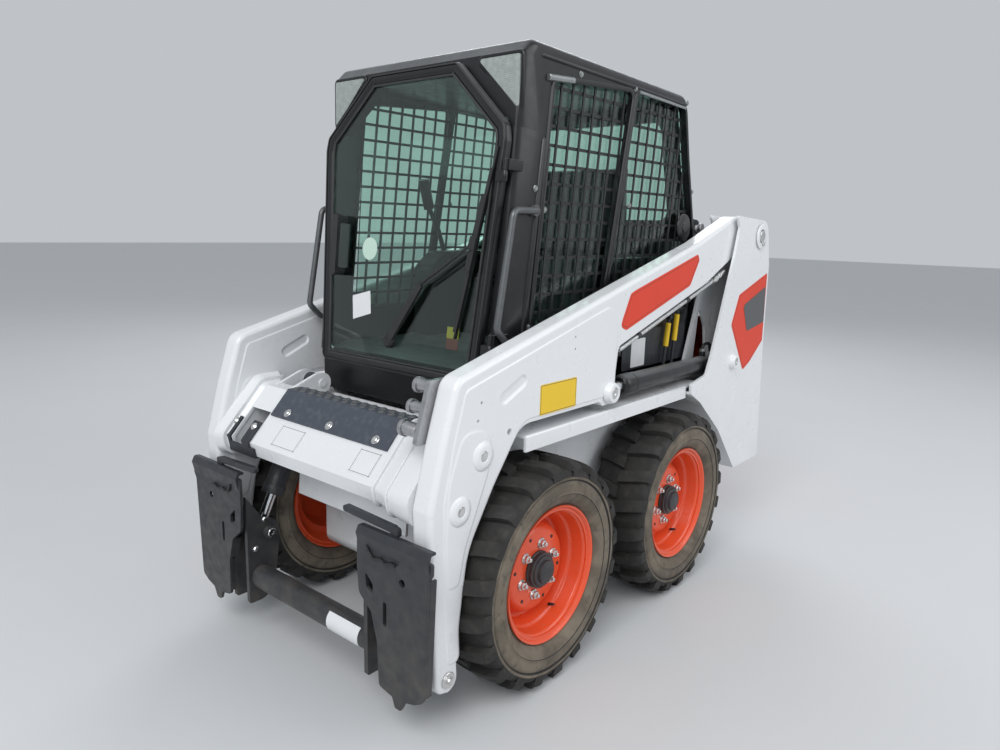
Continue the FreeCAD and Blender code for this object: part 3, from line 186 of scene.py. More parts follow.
# Satin black with a cold tone and dust, of the coupler and the brackets.
BLACK = (Surface("chassis_black", (0.022, 0.025, 0.031), 0.40)
         .patches(16, 8, 0.50, 0.80, 0.40, (0.052, 0.056, 0.062)).dust(0.05, 0.65, 0.30, 24)
         .sheen(40, 5, 0.34, 0.55).grain(300, 3, 0.18, 0.0006).material)
RIM = (Surface("rim_paint", (0.80, 0.085, 0.022), 0.33, Coat_Weight=0.35, Coat_Roughness=0.15)
       .patches(12, 6, 0.45, 0.80, 0.35, (0.62, 0.10, 0.045))
       .patches(60, 4, 0.60, 0.80, 0.25, (0.42, 0.20, 0.12))
       .sheen(30, 5, 0.26, 0.46).grain(220, 2, 0.08, 0.0006).material)
RUBBER = (Surface("tyre_rubber", (0.020, 0.019, 0.018), 0.80)
          .patches(7, 9, 0.42, 0.70, 0.45, (0.045, 0.041, 0.036), 0.05, warp=0.6)
          .patches(38, 8, 0.56, 0.82, 0.35, (0.11, 0.10, 0.083))
          .sheen(26, 5, 0.62, 0.92).grain(160, 8, 0.45, 0.0014).material)
# The dusty band of the sidewall.
SIDEWALL = (Surface("sidewall_rubber", (0.105, 0.088, 0.067), 0.85)
            .patches(9, 9, 0.36, 0.66, 0.85, (0.215, 0.182, 0.138), warp=0.8)
            .patches(45, 6, 0.55, 0.75, 0.6, (0.04, 0.038, 0.036)).grain(180, 8, 0.4, 0.0012).material)
BARE = steel("bare_steel", (0.46, 0.46, 0.47), 0.38)
ZINC = steel("zinc_steel", (0.72, 0.72, 0.71), 0.30)
CHROME = steel("rod_chrome", (0.80, 0.81, 0.82), 0.10)
TRIM = plastic("trim_plastic", (0.020, 0.020, 0.021), 0.45)
HOSE = plastic("hose_rubber", (0.014, 0.014, 0.015), 0.55)
VINYL = (Surface("seat_vinyl", (0.022, 0.022, 0.024), 0.48)
         .patches(12, 5, 0.45, 0.75, 0.5, (0.045, 0.045, 0.048)).leather().grain(18, 4, 0.25, 0.003).material)
GLASS = (Surface("tinted_glass", (0.66, 0.86, 0.78), 0.015, Transmission_Weight=1.0, IOR=1.48)
         .patches(3, 6, 0.40, 0.75, 0.25, (0.60, 0.78, 0.72)).sheen(24, 6, 0.008, 0.05, 0.45, 0.85).material)
# Clear moulded lens with shallow waves across it.
LENS = (Surface("lens_plastic", (0.42, 0.47, 0.45), 0.20, Transmission_Weight=0.30, IOR=1.45)
        .patches(60, 3, 0.4, 0.7, 0.4, (0.66, 0.71, 0.69)).moulded_waves().material)
# Dark blue-grey slip-proof coat of the step.
TREAD = (Surface("tread_paint", (0.055, 0.065, 0.085), 0.62)
         .patches(50, 8, 0.50, 0.78, 0.5, (0.13, 0.14, 0.155)).grain(500, 4, 0.5, 0.0008).material)
RAIL = steel("rail_steel", (0.40, 0.42, 0.42), 0.34, 0.85)
GRAB = steel("grab_steel", (0.13, 0.135, 0.14), 0.36, 0.5)
MESH = plastic("mesh_paint", (0.012, 0.013, 0.014), 0.42)
SEAL = plastic("seal_rubber", (0.030, 0.032, 0.031), 0.50)
IRON = (Surface("cast_iron", (0.055, 0.055, 0.058), 0.6, 0.4)
        .patches(14, 8, 0.42, 0.75, 0.6, (0.14, 0.11, 0.085)).grain(200, 6, 0.5, 0.001).material)
RED = film_color("red_film", (0.72, 0.045, 0.014), 0.45)
GREY = film_color("grey_film", (0.095, 0.098, 0.102), 0.45)
YELLOW = film_color("yellow_film", (0.85, 0.56, 0.02))
PAPER = film_color("white_film", (0.78, 0.79, 0.80), 0.5)
EDGE = film_color("edge_line", (0.05, 0.05, 0.05), 0.5)
ORANGE = film_color("gate_orange", (0.72, 0.10, 0.035), 0.33)
RUST = film_color("dark_red_film", (0.28, 0.035, 0.014), 0.5)
MINT = film_color("pale_green_film", (0.55, 0.72, 0.62), 0.5)
LAMP = film_color("lamp_red", (0.50, 0.012, 0.012), 0.16)
FLOOR = (Surface("pale_floor", (0.62, 0.63, 0.64), 0.75)
         .patches(1.4, 6, 0.35, 0.7, 0.25, (0.58, 0.59, 0.60)).grain(90, 6, 0.12, 0.002).material)

# Points in a rounded corner, apart from its first.
ARC = 5


def drawn_in(outline, distance):
    """An outline drawn in by a distance, or by one for each point, across its own edge there."""
    count = len(outline)
    side = 1 if sum(outline[i - 1].cross(outline[i]) for i in range(count)) > 0 else -1
    result = []
    for i, here in enumerate(outline):
        back = (here - outline[i - 1]).normalized()
        ahead = (outline[(i + 1) % count] - here).normalized()
        across = Vector((-back.y - ahead.y, back.x + ahead.x)).normalized() * side
        reach = 1 / max(across.dot(Vector((-back.y, back.x))) * side, 0.5)
        inset = distance[i] if isinstance(distance, list) else distance
        result.append(here + across * (reach * inset))
    return result


def rounded(corners, steps=ARC):
    """An outline of (u, v, radius) corners with each corner turned into an arc."""
    outline = []
    count = len(corners)
    for i, corner in enumerate(corners):
        here = Vector(corner[:2])
        radius = corner[2] if len(corner) > 2 else 0.0
        if radius <= 0:
            outline.append(here)
            continue
        back = (Vector(corners[i - 1][:2]) - here).normalized()
        ahead = (Vector(corners[(i + 1) % count][:2]) - here).normalized()
        half = math.acos(max(-1.0, min(1.0, back.dot(ahead)))) / 2
        centre = here + (back + ahead).normalized() * (radius / math.sin(half))
        start = here + back * (radius / math.tan(half)) - centre
        end = here + ahead * (radius / math.tan(half)) - centre
        turn = start.angle_signed(end)
        for step in range(steps + 1):
            outline.append(centre + Matrix.Rotation(-turn * step / steps, 2) @ start)
    return outline


def at_corners(corners, column):
    """A column of the corners' table, repeated for each point that rounded() makes of a corner."""
    return [corner[column] for corner in corners for _ in range(ARC + 1 if corner[2] > 0 else 1)]


def box_outline(u0, u1, v0, v1, radius=0.0):
    return [(u0, v0, radius), (u1, v0, radius), (u1, v1, radius), (u0, v1, radius)]


def ring_outline(u, v, radius, sides):
    turns = [2 * math.pi * i / sides for i in range(sides)]
    return [Vector((u + radius * math.cos(turn), v + radius * math.sin(turn))) for turn in turns]


def capsule(start, end, radius):
    """The outline of a slot with round ends."""
    start, end = Vector(start), Vector(end)
    lean = math.atan2(end.y - start.y, end.x - start.x)
    outline = []
    for centre, first in ((end, -math.pi / 2), (start, math.pi / 2)):
        for step in range(9):
            angle = lean + first + math.pi * step / 8
            outline.append(centre + Vector((math.cos(angle), math.sin(angle))) * radius)
    return outline


class Form:
    """A mesh that grows from simple solids, and becomes one piece that rides on a body."""

    def __init__(self):
        self.points = []
        self.faces = []

    def rows(self, rows, closed=False):
        """Skins rings of as many points each, one after another, and fills the two ends."""
        first, count = len(self.points), len(rows[0])
        self.points += [Vector(point) for row in rows for point in row]
        for k in range(len(rows) if closed else len(rows) - 1):
            low, high = first + k * count, first + (k + 1) % len(rows) * count
            for i in range(count):
                after = (i + 1) % count
                self.faces.append([low + i, low + after, high + after, high + i])
        if not closed:
            last = first + (len(rows) - 1) * count
            self.faces += [list(range(first, first + count))[::-1], list(range(last, last + count))]
        return self

    def prism(self, outline, place, thick):
        """A flat outline given depth: place(u, v, depth) says where a point of it is."""
        return self.rows([[place(*point, depth) for point in outline] for depth in (0.0, thick)])

    def formed(self, outline, widths, place, thick, steps=4):
        """A thick plate with rounded edges, as wide inward and as deep as each point's pair of widths."""
        rows = []
        for near, order in ((True, range(steps + 1)), (False, range(steps, -1, -1))):
            for step in order:
                turn = math.pi / 2 * step / steps
                inset = drawn_in(outline, [inward * (1 - math.sin(turn)) for inward, _ in widths])
                depths = [deep * (1 - math.cos(turn)) for _, deep in widths]
                rows.append([place(*point, depth if near else thick - depth)
                             for point, depth in zip(inset, depths)])
        return self.rows(rows)

    def raised(self, outline, place, height, slope, root=0.0005):
        """A pressed panel that swells softly from the sheet to its height over the slope's width."""
        rows = [[place(*point, -root) for point in outline]]
        for step in range(6):
            share = step / 5
            depth = height * (0.5 - 0.5 * math.cos(math.pi * share))
            rows.append([place(*point, depth) for point in drawn_in(outline, slope * share)])
        return self.rows(rows)

    def band(self, outline, section, place):
        """A frame that follows an outline: a closed section of (inset, depth) swept round it."""
        rows = [[place(*point, depth) for point in drawn_in(outline, inset)] for inset, depth in section]
        return self.rows(rows, closed=True)

    def lathe(self, profile, centre, axis, sides=48, closed=False):
        """A profile of (along, radius) turned about an axis through centre."""
        axis = Vector(axis).normalized()
        first = axis.orthogonal().normalized()
        second = axis.cross(first)
        turns = [2 * math.pi * i / sides for i in range(sides)]
        spokes = [first * math.cos(turn) + second * math.sin(turn) for turn in turns]
        rings = [[Vector(centre) + axis * along + spoke * radius for spoke in spokes]
                 for along, radius in profile]
        return self.rows(rings, closed)

    def rod(self, start, end, radius, sides=20):
        """A straight round bar with slightly broken ends."""
        along = Vector(end) - Vector(start)
        break_ = radius * 0.12
        profile = [(0, radius - break_), (break_, radius), (along.length - break_, radius),
                   (along.length, radius - break_)]
        return self.lathe(profile, start, along, sides)

    def across(self, hand, near, far, place, radius, sides):
        """A straight round bar across the machine on one hand, from near to far of its middle."""
        return self.rod(at(hand * near, *place), at(hand * far, *place), radius, sides)

    def bolt(self, place, axis, size, head):
        """A hexagon head with its washer, standing on place."""
        washer = [(0, size * 1.35), (size * 0.18, size * 1.35), (size * 0.22, size * 1.25)]
        self.lathe(washer, place, axis, 24)
        foot = Vector(place) + Vector(axis).normalized() * (size * 0.2)
        hexagon = [(0, size), (size * head, size), (size * (head + 0.12), size * 0.86)]
        return self.lathe(hexagon, foot, axis, 6)

    def solid(self, name):
        mesh = bpy.data.meshes.new(name)
        mesh.from_pydata(self.points, [], self.faces)
        mesh.validate()
        shape = bmesh.new()
        shape.from_mesh(mesh)
        bmesh.ops.recalc_face_normals(shape, faces=shape.faces)
        shape.to_mesh(mesh)
        shape.free()
        return put(name, mesh)

    def done(self, name, material, body, bevel=0.0, smooth=38, flat=False):
        return finish_piece(self.solid(name), material, body, bevel, smooth, flat)


def bake(piece):
    """Applies a piece's modifiers."""
    result = bpy.data.meshes.new_from_object(piece.evaluated_get(bpy.context.evaluated_depsgraph_get()))
    piece.modifiers.clear()
    piece.data = result


def combine(piece, tool, operation="DIFFERENCE"):
    """Cuts a closed form out of a piece, or joins it on, and leaves a plain mesh."""
    step = piece.modifiers.new("combine", "BOOLEAN")
    step.operation = operation
    step.solver = "EXACT"
    step.object = tool
    bake(piece)
    bpy.data.objects.remove(tool)


def round_edges(piece, width, angle):
    """Small round edges, wherever two faces meet at more than an angle."""
    edges = piece.modifiers.new("round_edges", "BEVEL")
    edges.width = width
    edges.segments = 2
    edges.limit_method = "ANGLE"
    edges.angle_limit = math.radians(angle)
    edges.harden_normals = True


def finish_piece(piece, material, body, bevel=0.0, smooth=38, flat=False):
    """Closes a piece off: soft shading between sharp edges, small round edges, material and body."""
    piece.data.materials.clear()
    piece.data.materials.append(material)
    for polygon in piece.data.polygons:
        polygon.use_smooth = True
    piece.data.set_sharp_from_angle(angle=math.radians(smooth))
    if bevel:
        round_edges(piece, bevel, 40)
    if flat:
        normals = piece.modifiers.new("flat_faces", "WEIGHTED_NORMAL")
        normals.keep_sharp = True
        normals.weight = 100
    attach(piece, body)
    return piece


def bent_tube(name, route, radius, material, body):
    """A round tube that bends smoothly along a route."""
    curve = bpy.data.curves.new(name, "CURVE")
    curve.dimensions = "3D"
    curve.bevel_depth = radius
    curve.bevel_resolution = 4
    curve.use_fill_caps = True
    curve.resolution_u = 8
    spline = curve.splines.new("NURBS")
    spline.points.add(len(route) - 1)
    for point, place in zip(spline.points, route):
        point.co = (*place, 1)
    spline.order_u = 3
    spline.use_endpoint_u = True
    curve.materials.append(material)
    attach(put(name, curve), body)


def soften(name, material, width):
    """Gives a CAD node its material and small round edges that catch the light."""
    node = frame["nodes"][name]
    node.data.materials.clear()
    node.data.materials.append(material)
    if width:
        weld = node.modifiers.new("weld", "WELD")
        weld.merge_threshold = 0.00002
        round_edges(node, width, 32)


def dress_nodes():
    """The finish of every CAD node that shows."""
    table = [(WHITE, 0.003, ["tower_left", "tower_right", "ledge_left", "ledge_right", "crossmember",
        "crossmember_skirt", "hood", "frame_tub"]), (ORANGE, 0.003, ["tailgate"]), (CAB, 0.003,
        ["roof_panel", "cab_base", "bulkhead"]), (BLACK, 0.0015, ["coupler_frame", "lock_lever_left",
        "lock_lever_right", "hose_bracket", "tilt_barrel", "radiator"]), (GRAB, 0.0, ["grab_handle_left",
        "grab_handle_right"]), (MESH, 0.0, ["screen_left", "screen_right"]), (BARE, 0.0015, ["axles_front",
        "axles_rear", "aux_couplers", "tailgate_hinges"]), (CHROME, 0.0, ["lift_rod_left", "lift_rod_right",
        "tilt_rod"]), (TREAD, 0.0015, ["tread_plate"]), (IRON, 0.004, ["engine"]), (GLASS, 0.0,
        ["door_glass", "rear_window", "side_window_left", "side_window_right"]), (LENS, 0.001,
        ["corner_lens_left", "corner_lens_right"]), (TRIM, 0.002, ["door_latch", "control_left",
        "control_right", "seat_box"]), ]
    for material, width, names in table:
        for name in names:
            soften(name, material, width)


def make_camera():
    """The photograph's camera: place, aim, roll and lens fitted to the machine's known sizes."""
    lens = bpy.data.cameras.new("camera")
    lens.sensor_width = 36
    lens.lens = 26.75
    turn, down, roll = (math.radians(angle) for angle in (39.85, 11.274, 1.459))
    back = Vector((math.sin(turn) * math.cos(down), -math.cos(turn) * math.cos(down), math.sin(down)))
    right = Vector((math.cos(turn), math.sin(turn), 0))
    up = back.cross(right)
    across = right * math.cos(roll) + up * math.sin(roll)
    upward = up * math.cos(roll) - right * math.sin(roll)
    axes = Matrix((across, upward, back)).transposed().to_4x4()
    camera = put("camera", lens)
    camera.matrix_world = Matrix.Translation(at(1.7426, -1.6611, 1.3380)) @ axes
    bpy.context.scene.camera = camera
    bpy.context.scene.view_settings.view_transform = "Standard"


def make_studio():
    """A pale floor under a pale sky, a broad soft lamp over the left front, and two weaker ones."""
    mesh = bpy.data.meshes.new("floor")
    mesh.from_pydata([(-40, -40, 0), (40, -40, 0), (40, 40, 0), (-40, 40, 0)], [], [[0, 1, 2, 3]])
    mesh.materials.append(FLOOR)
    put("floor", mesh)
    world = bpy.data.worlds.new("sky")
    bpy.context.scene.world = world
    world.use_nodes = True
    background = world.node_tree.nodes["Background"]
    background.inputs["Color"].default_value = (0.84, 0.88, 0.93, 1)
    background.inputs["Strength"].default_value = 0.62
    for name, place, watts, width in (("key", (2.5, -5.5, 6.0), 330, 4.5),
                                      ("fill", (5.5, 2.0, 4.0), 110, 4.0),
                                      ("back", (-4.0, 5.0, 5.0), 130, 4.0)):
        lamp = bpy.data.lights.new(name, "AREA")
        lamp.energy = watts
        lamp.size = width
        light = put(name, lamp)
        light.location = place
        light.rotation_euler = (Vector((0, 0, 0.8)) - Vector(place)).to_track_quat("-Z", "Y").to_euler()


# Wheels, by distance from the tyre's centre plane (outboard positive) and radius.
WHEELS = [("front_left", 1, 0), ("front_right", -1, 0), ("rear_left", 1, 1), ("rear_right", -1, 1)]
TYRE_PROFILE = mm(
    (70, 191.5), (77.5, 193), (78, 204), (79, 210), (86, 214), (96, 223), (103, 235), (106.5, 245),
    (108.5, 247), (108.8, 250), (107, 252), (107.3, 260), (107, 272), (105, 280), (101.5, 283.5),
    (101.5, 285.5), (106, 288.5), (106.8, 296), (104, 306), (97, 313), (85, 316), (45, 320), (0, 321))
SIDEWALL_BANDS = mm((203.5, 240), (248, 283), (287, 300))
LUGS_A_SIDE = 20
LUG_START = math.pi / 40
# A lug's stations: across the tread, radius at the top, front edge and back edge along the tread.
LUG_STATIONS = mm(
    (-4, 342.5, -4, -44), (30, 342.5, 5, -36), (62, 341.2, 13, -28), (84, 338.5, 19, -23),
    (98, 333.5, 23, -20), (106.5, 324, 25, -18), (108.5, 308, 25, -17))
LUG_FOOT = 0.0035


def wheel_centre(side, row):
    track, front, height = FRONT_AXLE
    rear = JOINT["wheel_rear_left_spin"]["pos_m"][1]
    return Vector((side * abs(track), rear if row else front, height))


def on_wheel(centre, across, radius, angle):
    """A place on a wheel: across it from its centre, its radius, and its turn from the top."""
    return centre + Vector((across, -radius * math.sin(angle), radius * math.cos(angle)))


def make_tyre(name, side, row):
    """A lugged tyre: turned carcass, and two rows of bars that meet in a broken chevron."""
    centre = wheel_centre(side, row)
    profile = [(-along, radius) for along, radius in TYRE_PROFILE] + TYRE_PROFILE[-2::-1]
    form = Form().lathe(profile, centre, (side, 0, 0), 96, closed=True)
    for hand in (1, -1):
        for lug in range(LUGS_A_SIDE):
            turn = (lug + (0.5 if hand < 0 else 0.0)) * 2 * math.pi / LUGS_A_SIDE + LUG_START
            sections = []
            for across, top, front, back in LUG_STATIONS:
                low = min(top - 0.012, 0.312)
                corners = (low, front + LUG_FOOT), (top, front), (top, back), (low, back - LUG_FOOT)
                sections.append([on_wheel(centre, side * hand * across, radius, turn - along / FRONT_AXLE[2])
                                 for radius, along in corners])
            form.rows(sections)
    piece = form.done(f"tyre_rubber_{name}", RUBBER, f"wheel_{name}", bevel=0.0022, smooth=32)
    piece.data.materials.append(SIDEWALL)
    for polygon in piece.data.polygons:
        offset = polygon.center - centre
        radius = math.hypot(offset.y, offset.z)
        if abs(offset.x) > 0.077 and any(low < radius < high for low, high in SIDEWALL_BANDS):
            polygon.material_index = 1
    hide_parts(f"tyre_{name}")


RIM_PROFILE = mm(
    (89, 206), (88.5, 203), (84, 198.5), (77, 195), (72.5, 190.5), (70, 184.5), (64, 182.5), (30, 180.5),
    (25.5, 178.5), (23, 173.5), (19, 171.5), (-12, 166), (-19, 163), (-22.5, 156), (-21, 149), (15, 133),
    (22.5, 128), (26.5, 120), (28, 117), (29, 50), (22, 50), (20, 116), (15, 124), (-29, 143), (-30, 160),
    (-34, 170), (-70, 184), (-72.5, 190.5), (-77, 195), (-84, 198.5), (-88.5, 203), (-89, 206),
    (-86, 207.8), (-80, 206), (-78, 189.5), (78, 189.5), (80, 206), (86, 207.8))
HUB_PROFILE = mm(
    (-47, 49), (22, 49), (28, 56), (34, 56), (36, 53), (41, 52), (43, 54.5), (49, 54), (51, 48), (56, 47),
    (59, 44), (60, 36), (67, 34.5), (70, 30), (71, 15), (72, 14), (72, 4))
DISC, NUT_CIRCLE = 0.0285, 0.0785
HOLE_CIRCLE, HOLE, VALVE_TURN = 0.106, 0.0055, 208


def make_rim(name, side, row):
    """A painted rim with its black stepped hub, six bright nuts, dark discs painted as the shade in its
    punched holes, and the valve.
    """
    centre = wheel_centre(side, row)
    body = f"wheel_{name}"
    axis = Vector((side, 0, 0))

    def on_disc(radius, degrees, along):
        return on_wheel(centre, side * along, radius, math.radians(degrees))

    rim = Form().lathe(RIM_PROFILE, centre, axis, 96, closed=True)
    rim = rim.done(f"rim_paint_{name}", RIM, body, smooth=50)
    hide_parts(f"rim_{name}")
    Form().lathe(HUB_PROFILE, centre, axis, 40).done(f"hub_cap_{name}", BLACK, body, smooth=30)
    nuts = Form()
    for i in range(6):
        spot = on_disc(NUT_CIRCLE, i * 60 - 11, DISC)
        nuts.lathe(mm((0, 16.5), (2, 16.5), (3.5, 15.5)), spot, axis, 20)
        nuts.lathe(mm((3, 12.5), (13, 12.5), (14.5, 11)), spot, axis, 6)
        nuts.lathe(mm((14.5, 6.5), (21.5, 6.5), (22.5, 5.5)), spot, axis, 12)
    nuts.done(f"wheel_nuts_{name}", ZINC, body, smooth=25)
    # Painted shade: the punched holes are not cut; thin dark discs on the rim's disc stand in for their dark
    # insides, and one more dark disc lies round the valve's foot.
    holes = Form()
    for degrees in range(20, 380, 60):
        holes.lathe([(0, HOLE), (0.0006, HOLE)], on_disc(HOLE_CIRCLE, degrees, DISC), axis, 20)
    inward = on_disc(0, 0, 0) - on_disc(1, VALVE_TURN, -0.6)
    holes.lathe(mm((0, 15), (1.5, 15)), on_disc(0.1775, VALVE_TURN, 0.016), inward, 24)
    holes.done(f"rim_hole_shades_{name}", HOSE, body, smooth=30)
    stem = on_disc(0.170, VALVE_TURN, 0.020)
    tip = on_disc(0.158, VALVE_TURN, 0.046)
    profile = mm((0, 5), (16, 4.5), (17, 3.5), (26, 3.5))
    Form().lathe(profile, stem, tip - stem, 14).done(f"valve_{name}", TRIM, body, smooth=30)


def side_place(x, hand):
    """Outlines of (back, up) in a side plane x, with depth to that hand."""
    return lambda u, v, depth: at(x + hand * depth, u, v)


# A lift arm from the side: behind the front axle, height, corner radius, width of its rounded edge.
ARM_INNER, ARM_OUTER = 0.458, 0.528
ARM = mm(
    (-350, 130, 36, 4), (-362, 300, 400, 4), (-330, 500, 300, 4), (-232, 655, 200, 4), (-110, 806, 90, 4),
    (284, 806, 20, 3), (305, 790, 14, 3), (360, 790, 14, 3), (384, 971, 25, 4), (990, 1146, 300, 5),
    (1228, 1246, 90, 5), (1380, 1264, 60, 4), (1492, 1264, 60, 4), (1492, 1388, 60, 4), (1233, 1402, 60, 8),
    (913, 1298, 500, 14), (-364, 967, 50, 16), (-412, 815, 60, 16), (-458, 645, 40, 16),
    (-449, 420, 300, 14), (-428, 130, 36, 10))
# The broad pressed panel of an arm's face, and the raised pad round its two bosses.
PANEL = mm(
    (-338, 940, 30), (330, 1112, 50), (374, 1040, 30), (370, 850, 20), (340, 816, 12), (-104, 816, 80),
    (-222, 660, 180), (-320, 505, 250), (-350, 300, 300), (-344, 205, 20), (-394, 205, 20),
    (-410, 420, 300), (-414, 660, 60), (-378, 815, 60))
PAD = mm(
    (-400, 705, 80), (-350, 832, 50), (-222, 832, 60), (-245, 700, 120), (-328, 520, 150), (-352, 420, 20),
    (-400, 420, 20), (-408, 560, 200))
PRESSED = 0.0025
DIMPLE = ((-0.187, 0.896), (-0.110, 0.930), 0.020)
# Small holes through the outer sheet: behind the front axle, height, radius.
ARM_HOLES = mm((-278, 898, 4.2), (-290, 852, 4.2), (133, 1028, 3.8), (134, 992, 3.8), (-163, 799, 9.5))
ARM_BOSSES = mm((-271, 755), (-355, 627))
LIFT_X, LIFT_FOOT, LIFT_EYE = 0.493, (1.247, 0.822), (0.339, 0.829)
TILT_X, TILT_FOOT, TILT_EYE = -0.340, (-0.160, 0.806), (-0.388, 0.345)
# The room inside the arm's box that the lift cylinder's eye turns in.
EYE_ROOM = mm((303, 740), (429, 740), (429, 960), (369, 924, 10), (303, 924, 12))
ARM_PIVOT = (1.430, 1.326)
COUPLER_PIN = (-0.389, 0.169)
TOWER_FACE = 0.550
BOSS = mm((-1, 41), (0.8, 40), (3.5, 34.5), (6, 28), (6.6, 25.5), (6.2, 14.5), (4, 13.5), (-1, 13.5))


def make_arm(side, hand):
    """A lift arm: a box section with large round edges, pressed panels, its dimple and its holes."""
    body = "lift_arms"
    widths = [(width, width) for width in at_corners(ARM, 3)]
    inner = side_place(hand * ARM_INNER, hand)
    arm = Form().formed(rounded(ARM), widths, inner, ARM_OUTER - ARM_INNER).solid(f"arm_box_{side}")
    for face, way in ((ARM_OUTER, hand), (ARM_INNER, -hand)):
        step = 1 if way == hand else -1
        for base, corners, slope in ((0.0, PANEL, 0.007), (PRESSED, PAD, 0.010)):
            place = side_place(hand * (face + step * base), way)
            panel = Form().raised(rounded(corners), place, PRESSED, slope)
            combine(arm, panel.solid("panel"), "UNION")
        dish = side_place(hand * (face + step * PRESSED), -way)
        combine(arm, Form().raised(capsule(*DIMPLE), dish, 0.006, 0.009, root=0.006).solid("dish"))
    for y, z, radius in ARM_HOLES:
        drill = Form().across(hand, ARM_OUTER + 0.02, ARM_OUTER - 0.03, (y, z), radius, 16)
        combine(arm, drill.solid("drill"))
    sheet = side_place(hand * (ARM_INNER + 0.010), hand)
    room = Form().prism(rounded(EYE_ROOM), sheet, ARM_OUTER - ARM_INNER - 0.020)
    combine(arm, room.solid("room"))
    combine(arm, Form().across(hand, 0.44, 0.55, ARM_PIVOT, 0.0254, 40).solid("bore"))
    finish_piece(arm, WHITE, body, smooth=34, flat=True)
    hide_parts(f"arm_{side}")

    out = (hand, 0, 0)
    face = hand * (ARM_OUTER + 2 * PRESSED)
    bosses, pins = Form(), Form()
    for y, z in ARM_BOSSES:
        bosses.lathe(BOSS, at(face, y, z), out, 48)
        pins.lathe(mm((-1, 13), (4.2, 13), (5, 11.8), (3.6, 6), (3.6, 2)), at(face, y, z), out, 28)
    eye = at(hand * (ARM_OUTER + 0.002), *LIFT_EYE)
    bosses.lathe(mm((0, 36), (14, 34), (21, 30), (22, 19), (16, 18), (0, 18)), eye, out, 48)
    bosses.done(f"arm_bosses_{side}", WHITE, body, bevel=0.0012, smooth=35)
    pins.lathe(mm((0, 17.5), (19, 17.5), (20.5, 16), (20.5, 7), (18, 6)), eye, out, 28)
    toe = at(hand * (ARM_OUTER + 0.001), *COUPLER_PIN)
    pins.lathe(mm((0, 22.5), (3.5, 22.5), (4.5, 21.2)), toe, out, 32)
    pins.bolt(toe + Vector((hand * 0.0045, 0, 0)), out, 0.0085, 0.55)
    pins.across(hand, 0.402, ARM_OUTER + 0.001, COUPLER_PIN, 0.019, 32)
    for near, far in ((ARM_INNER - 0.004, ARM_INNER + 0.014), (ARM_OUTER - 0.014, ARM_OUTER + 0.004)):
        pins.across(hand, near, far, LIFT_EYE, 0.014, 24)
    pins.done(f"arm_pins_{side}", ZINC, body, bevel=0.0006, smooth=30)


def film(name, corners, place, material, body, base=0.0003):
    """A thin blank film or plate laid on a face."""
    lifted = lambda u, v, depth: place(u, v, depth + base)
    Form().prism(rounded(corners, 4), lifted, 0.0007).done(name, material, body)


def lined_film(name, number, corners, place, material, body, inset, width, line):
    """A film with a fine line that runs round inside its edge."""
    film(f"{name}_{number}", corners, place, material, body)
    outline = drawn_in(rounded(corners, 4), inset)
    section = [(0, 0.0010), (0, 0.0012), (width, 0.0012), (width, 0.0010)]
    Form().band(outline, section, place).done(f"{name}_line_{number}", line, body)


ARM_STRIPE = mm(
    (905, 1258, 12), (918, 1236, 10), (857, 1146, 30), (424, 1022, 14), (388, 1034, 14), (398, 1060, 20),
    (440, 1138, 16), (470, 1148, 12))
TOWER_RED = mm(
    (1540, 1172, 4), (1262, 1093, 20), (1206, 975, 16), (1362, 772, 16), (1430, 800, 30), (1552, 880, 4))
TOWER_GREY = mm(
    (1534, 1114, 4), (1326, 1052, 16), (1314, 1040, 12), (1366, 938, 10), (1380, 938, 10), (1546, 962, 4))
HAZARD = box_outline(-0.031, 0.147, 0.819, 0.907, 0.004)


def make_side_films():
    """The blank coloured films of the arms and towers."""
    for side, hand in SIDES:
        for name, corners, x, body, inset, width, fill, line in (
                ("arm_stripe", ARM_STRIPE, ARM_OUTER, "lift_arms", 0.0075, 0.0018, RED, RUST),
                ("arm_plate", HAZARD, ARM_OUTER + PRESSED, "lift_arms", 0.0025, 0.0014, YELLOW, EDGE),
                ("tower_patch", TOWER_RED, TOWER_FACE, "frame", 0.0075, 0.0018, RED, RUST)):
            lined_film(name, side, corners, side_place(hand * x, hand), fill, body, inset, width, line)
        field = side_place(hand * TOWER_FACE, hand)
        film(f"tower_field_{side}", TOWER_GREY, field, GREY, "frame", base=0.0014)


def make_tower_details(side, hand):
    """Boss and pin of the lift cylinder's foot, the arm pivot's cap and bolt, and the cab pin's cap."""
    out = (hand, 0, 0)
    bosses, pins = Form(), Form()
    foot = at(hand * TOWER_FACE, *LIFT_FOOT)
    bosses.lathe(mm((0, 34), (4, 30), (18, 28), (20, 26), (20, 16.5), (15, 16), (0, 16)), foot, out, 40)
    pins.lathe(mm((0, 15.5), (16.5, 15.5), (17.8, 14.2), (17.8, 5), (15, 4)), foot, out, 28)
    cap = at(hand * 0.556, *ARM_PIVOT)
    bosses.lathe(mm((0, 52), (1.5, 50), (3, 46), (3, 30), (1.5, 28), (0, 28)), cap, out, 48)
    pins.bolt(at(hand * 0.559, 1.439, 1.296), out, 0.0085, 0.5)
    pins.lathe(mm((0, 24.5), (4, 24.5), (5.2, 23)), cap, out, 36)
    bosses.done(f"tower_bosses_{side}", WHITE, "frame", bevel=0.001, smooth=35)
    pins.done(f"tower_pins_{side}", ZINC, "frame", bevel=0.0006, smooth=30)
    ends = Form().lathe(mm((0, 19), (12, 19), (13, 18)), at(hand * 0.418, 1.128, 1.352), out, 28)
    ends.done(f"cab_pin_caps_{side}", BARE, "frame", bevel=0.0008, smooth=30)


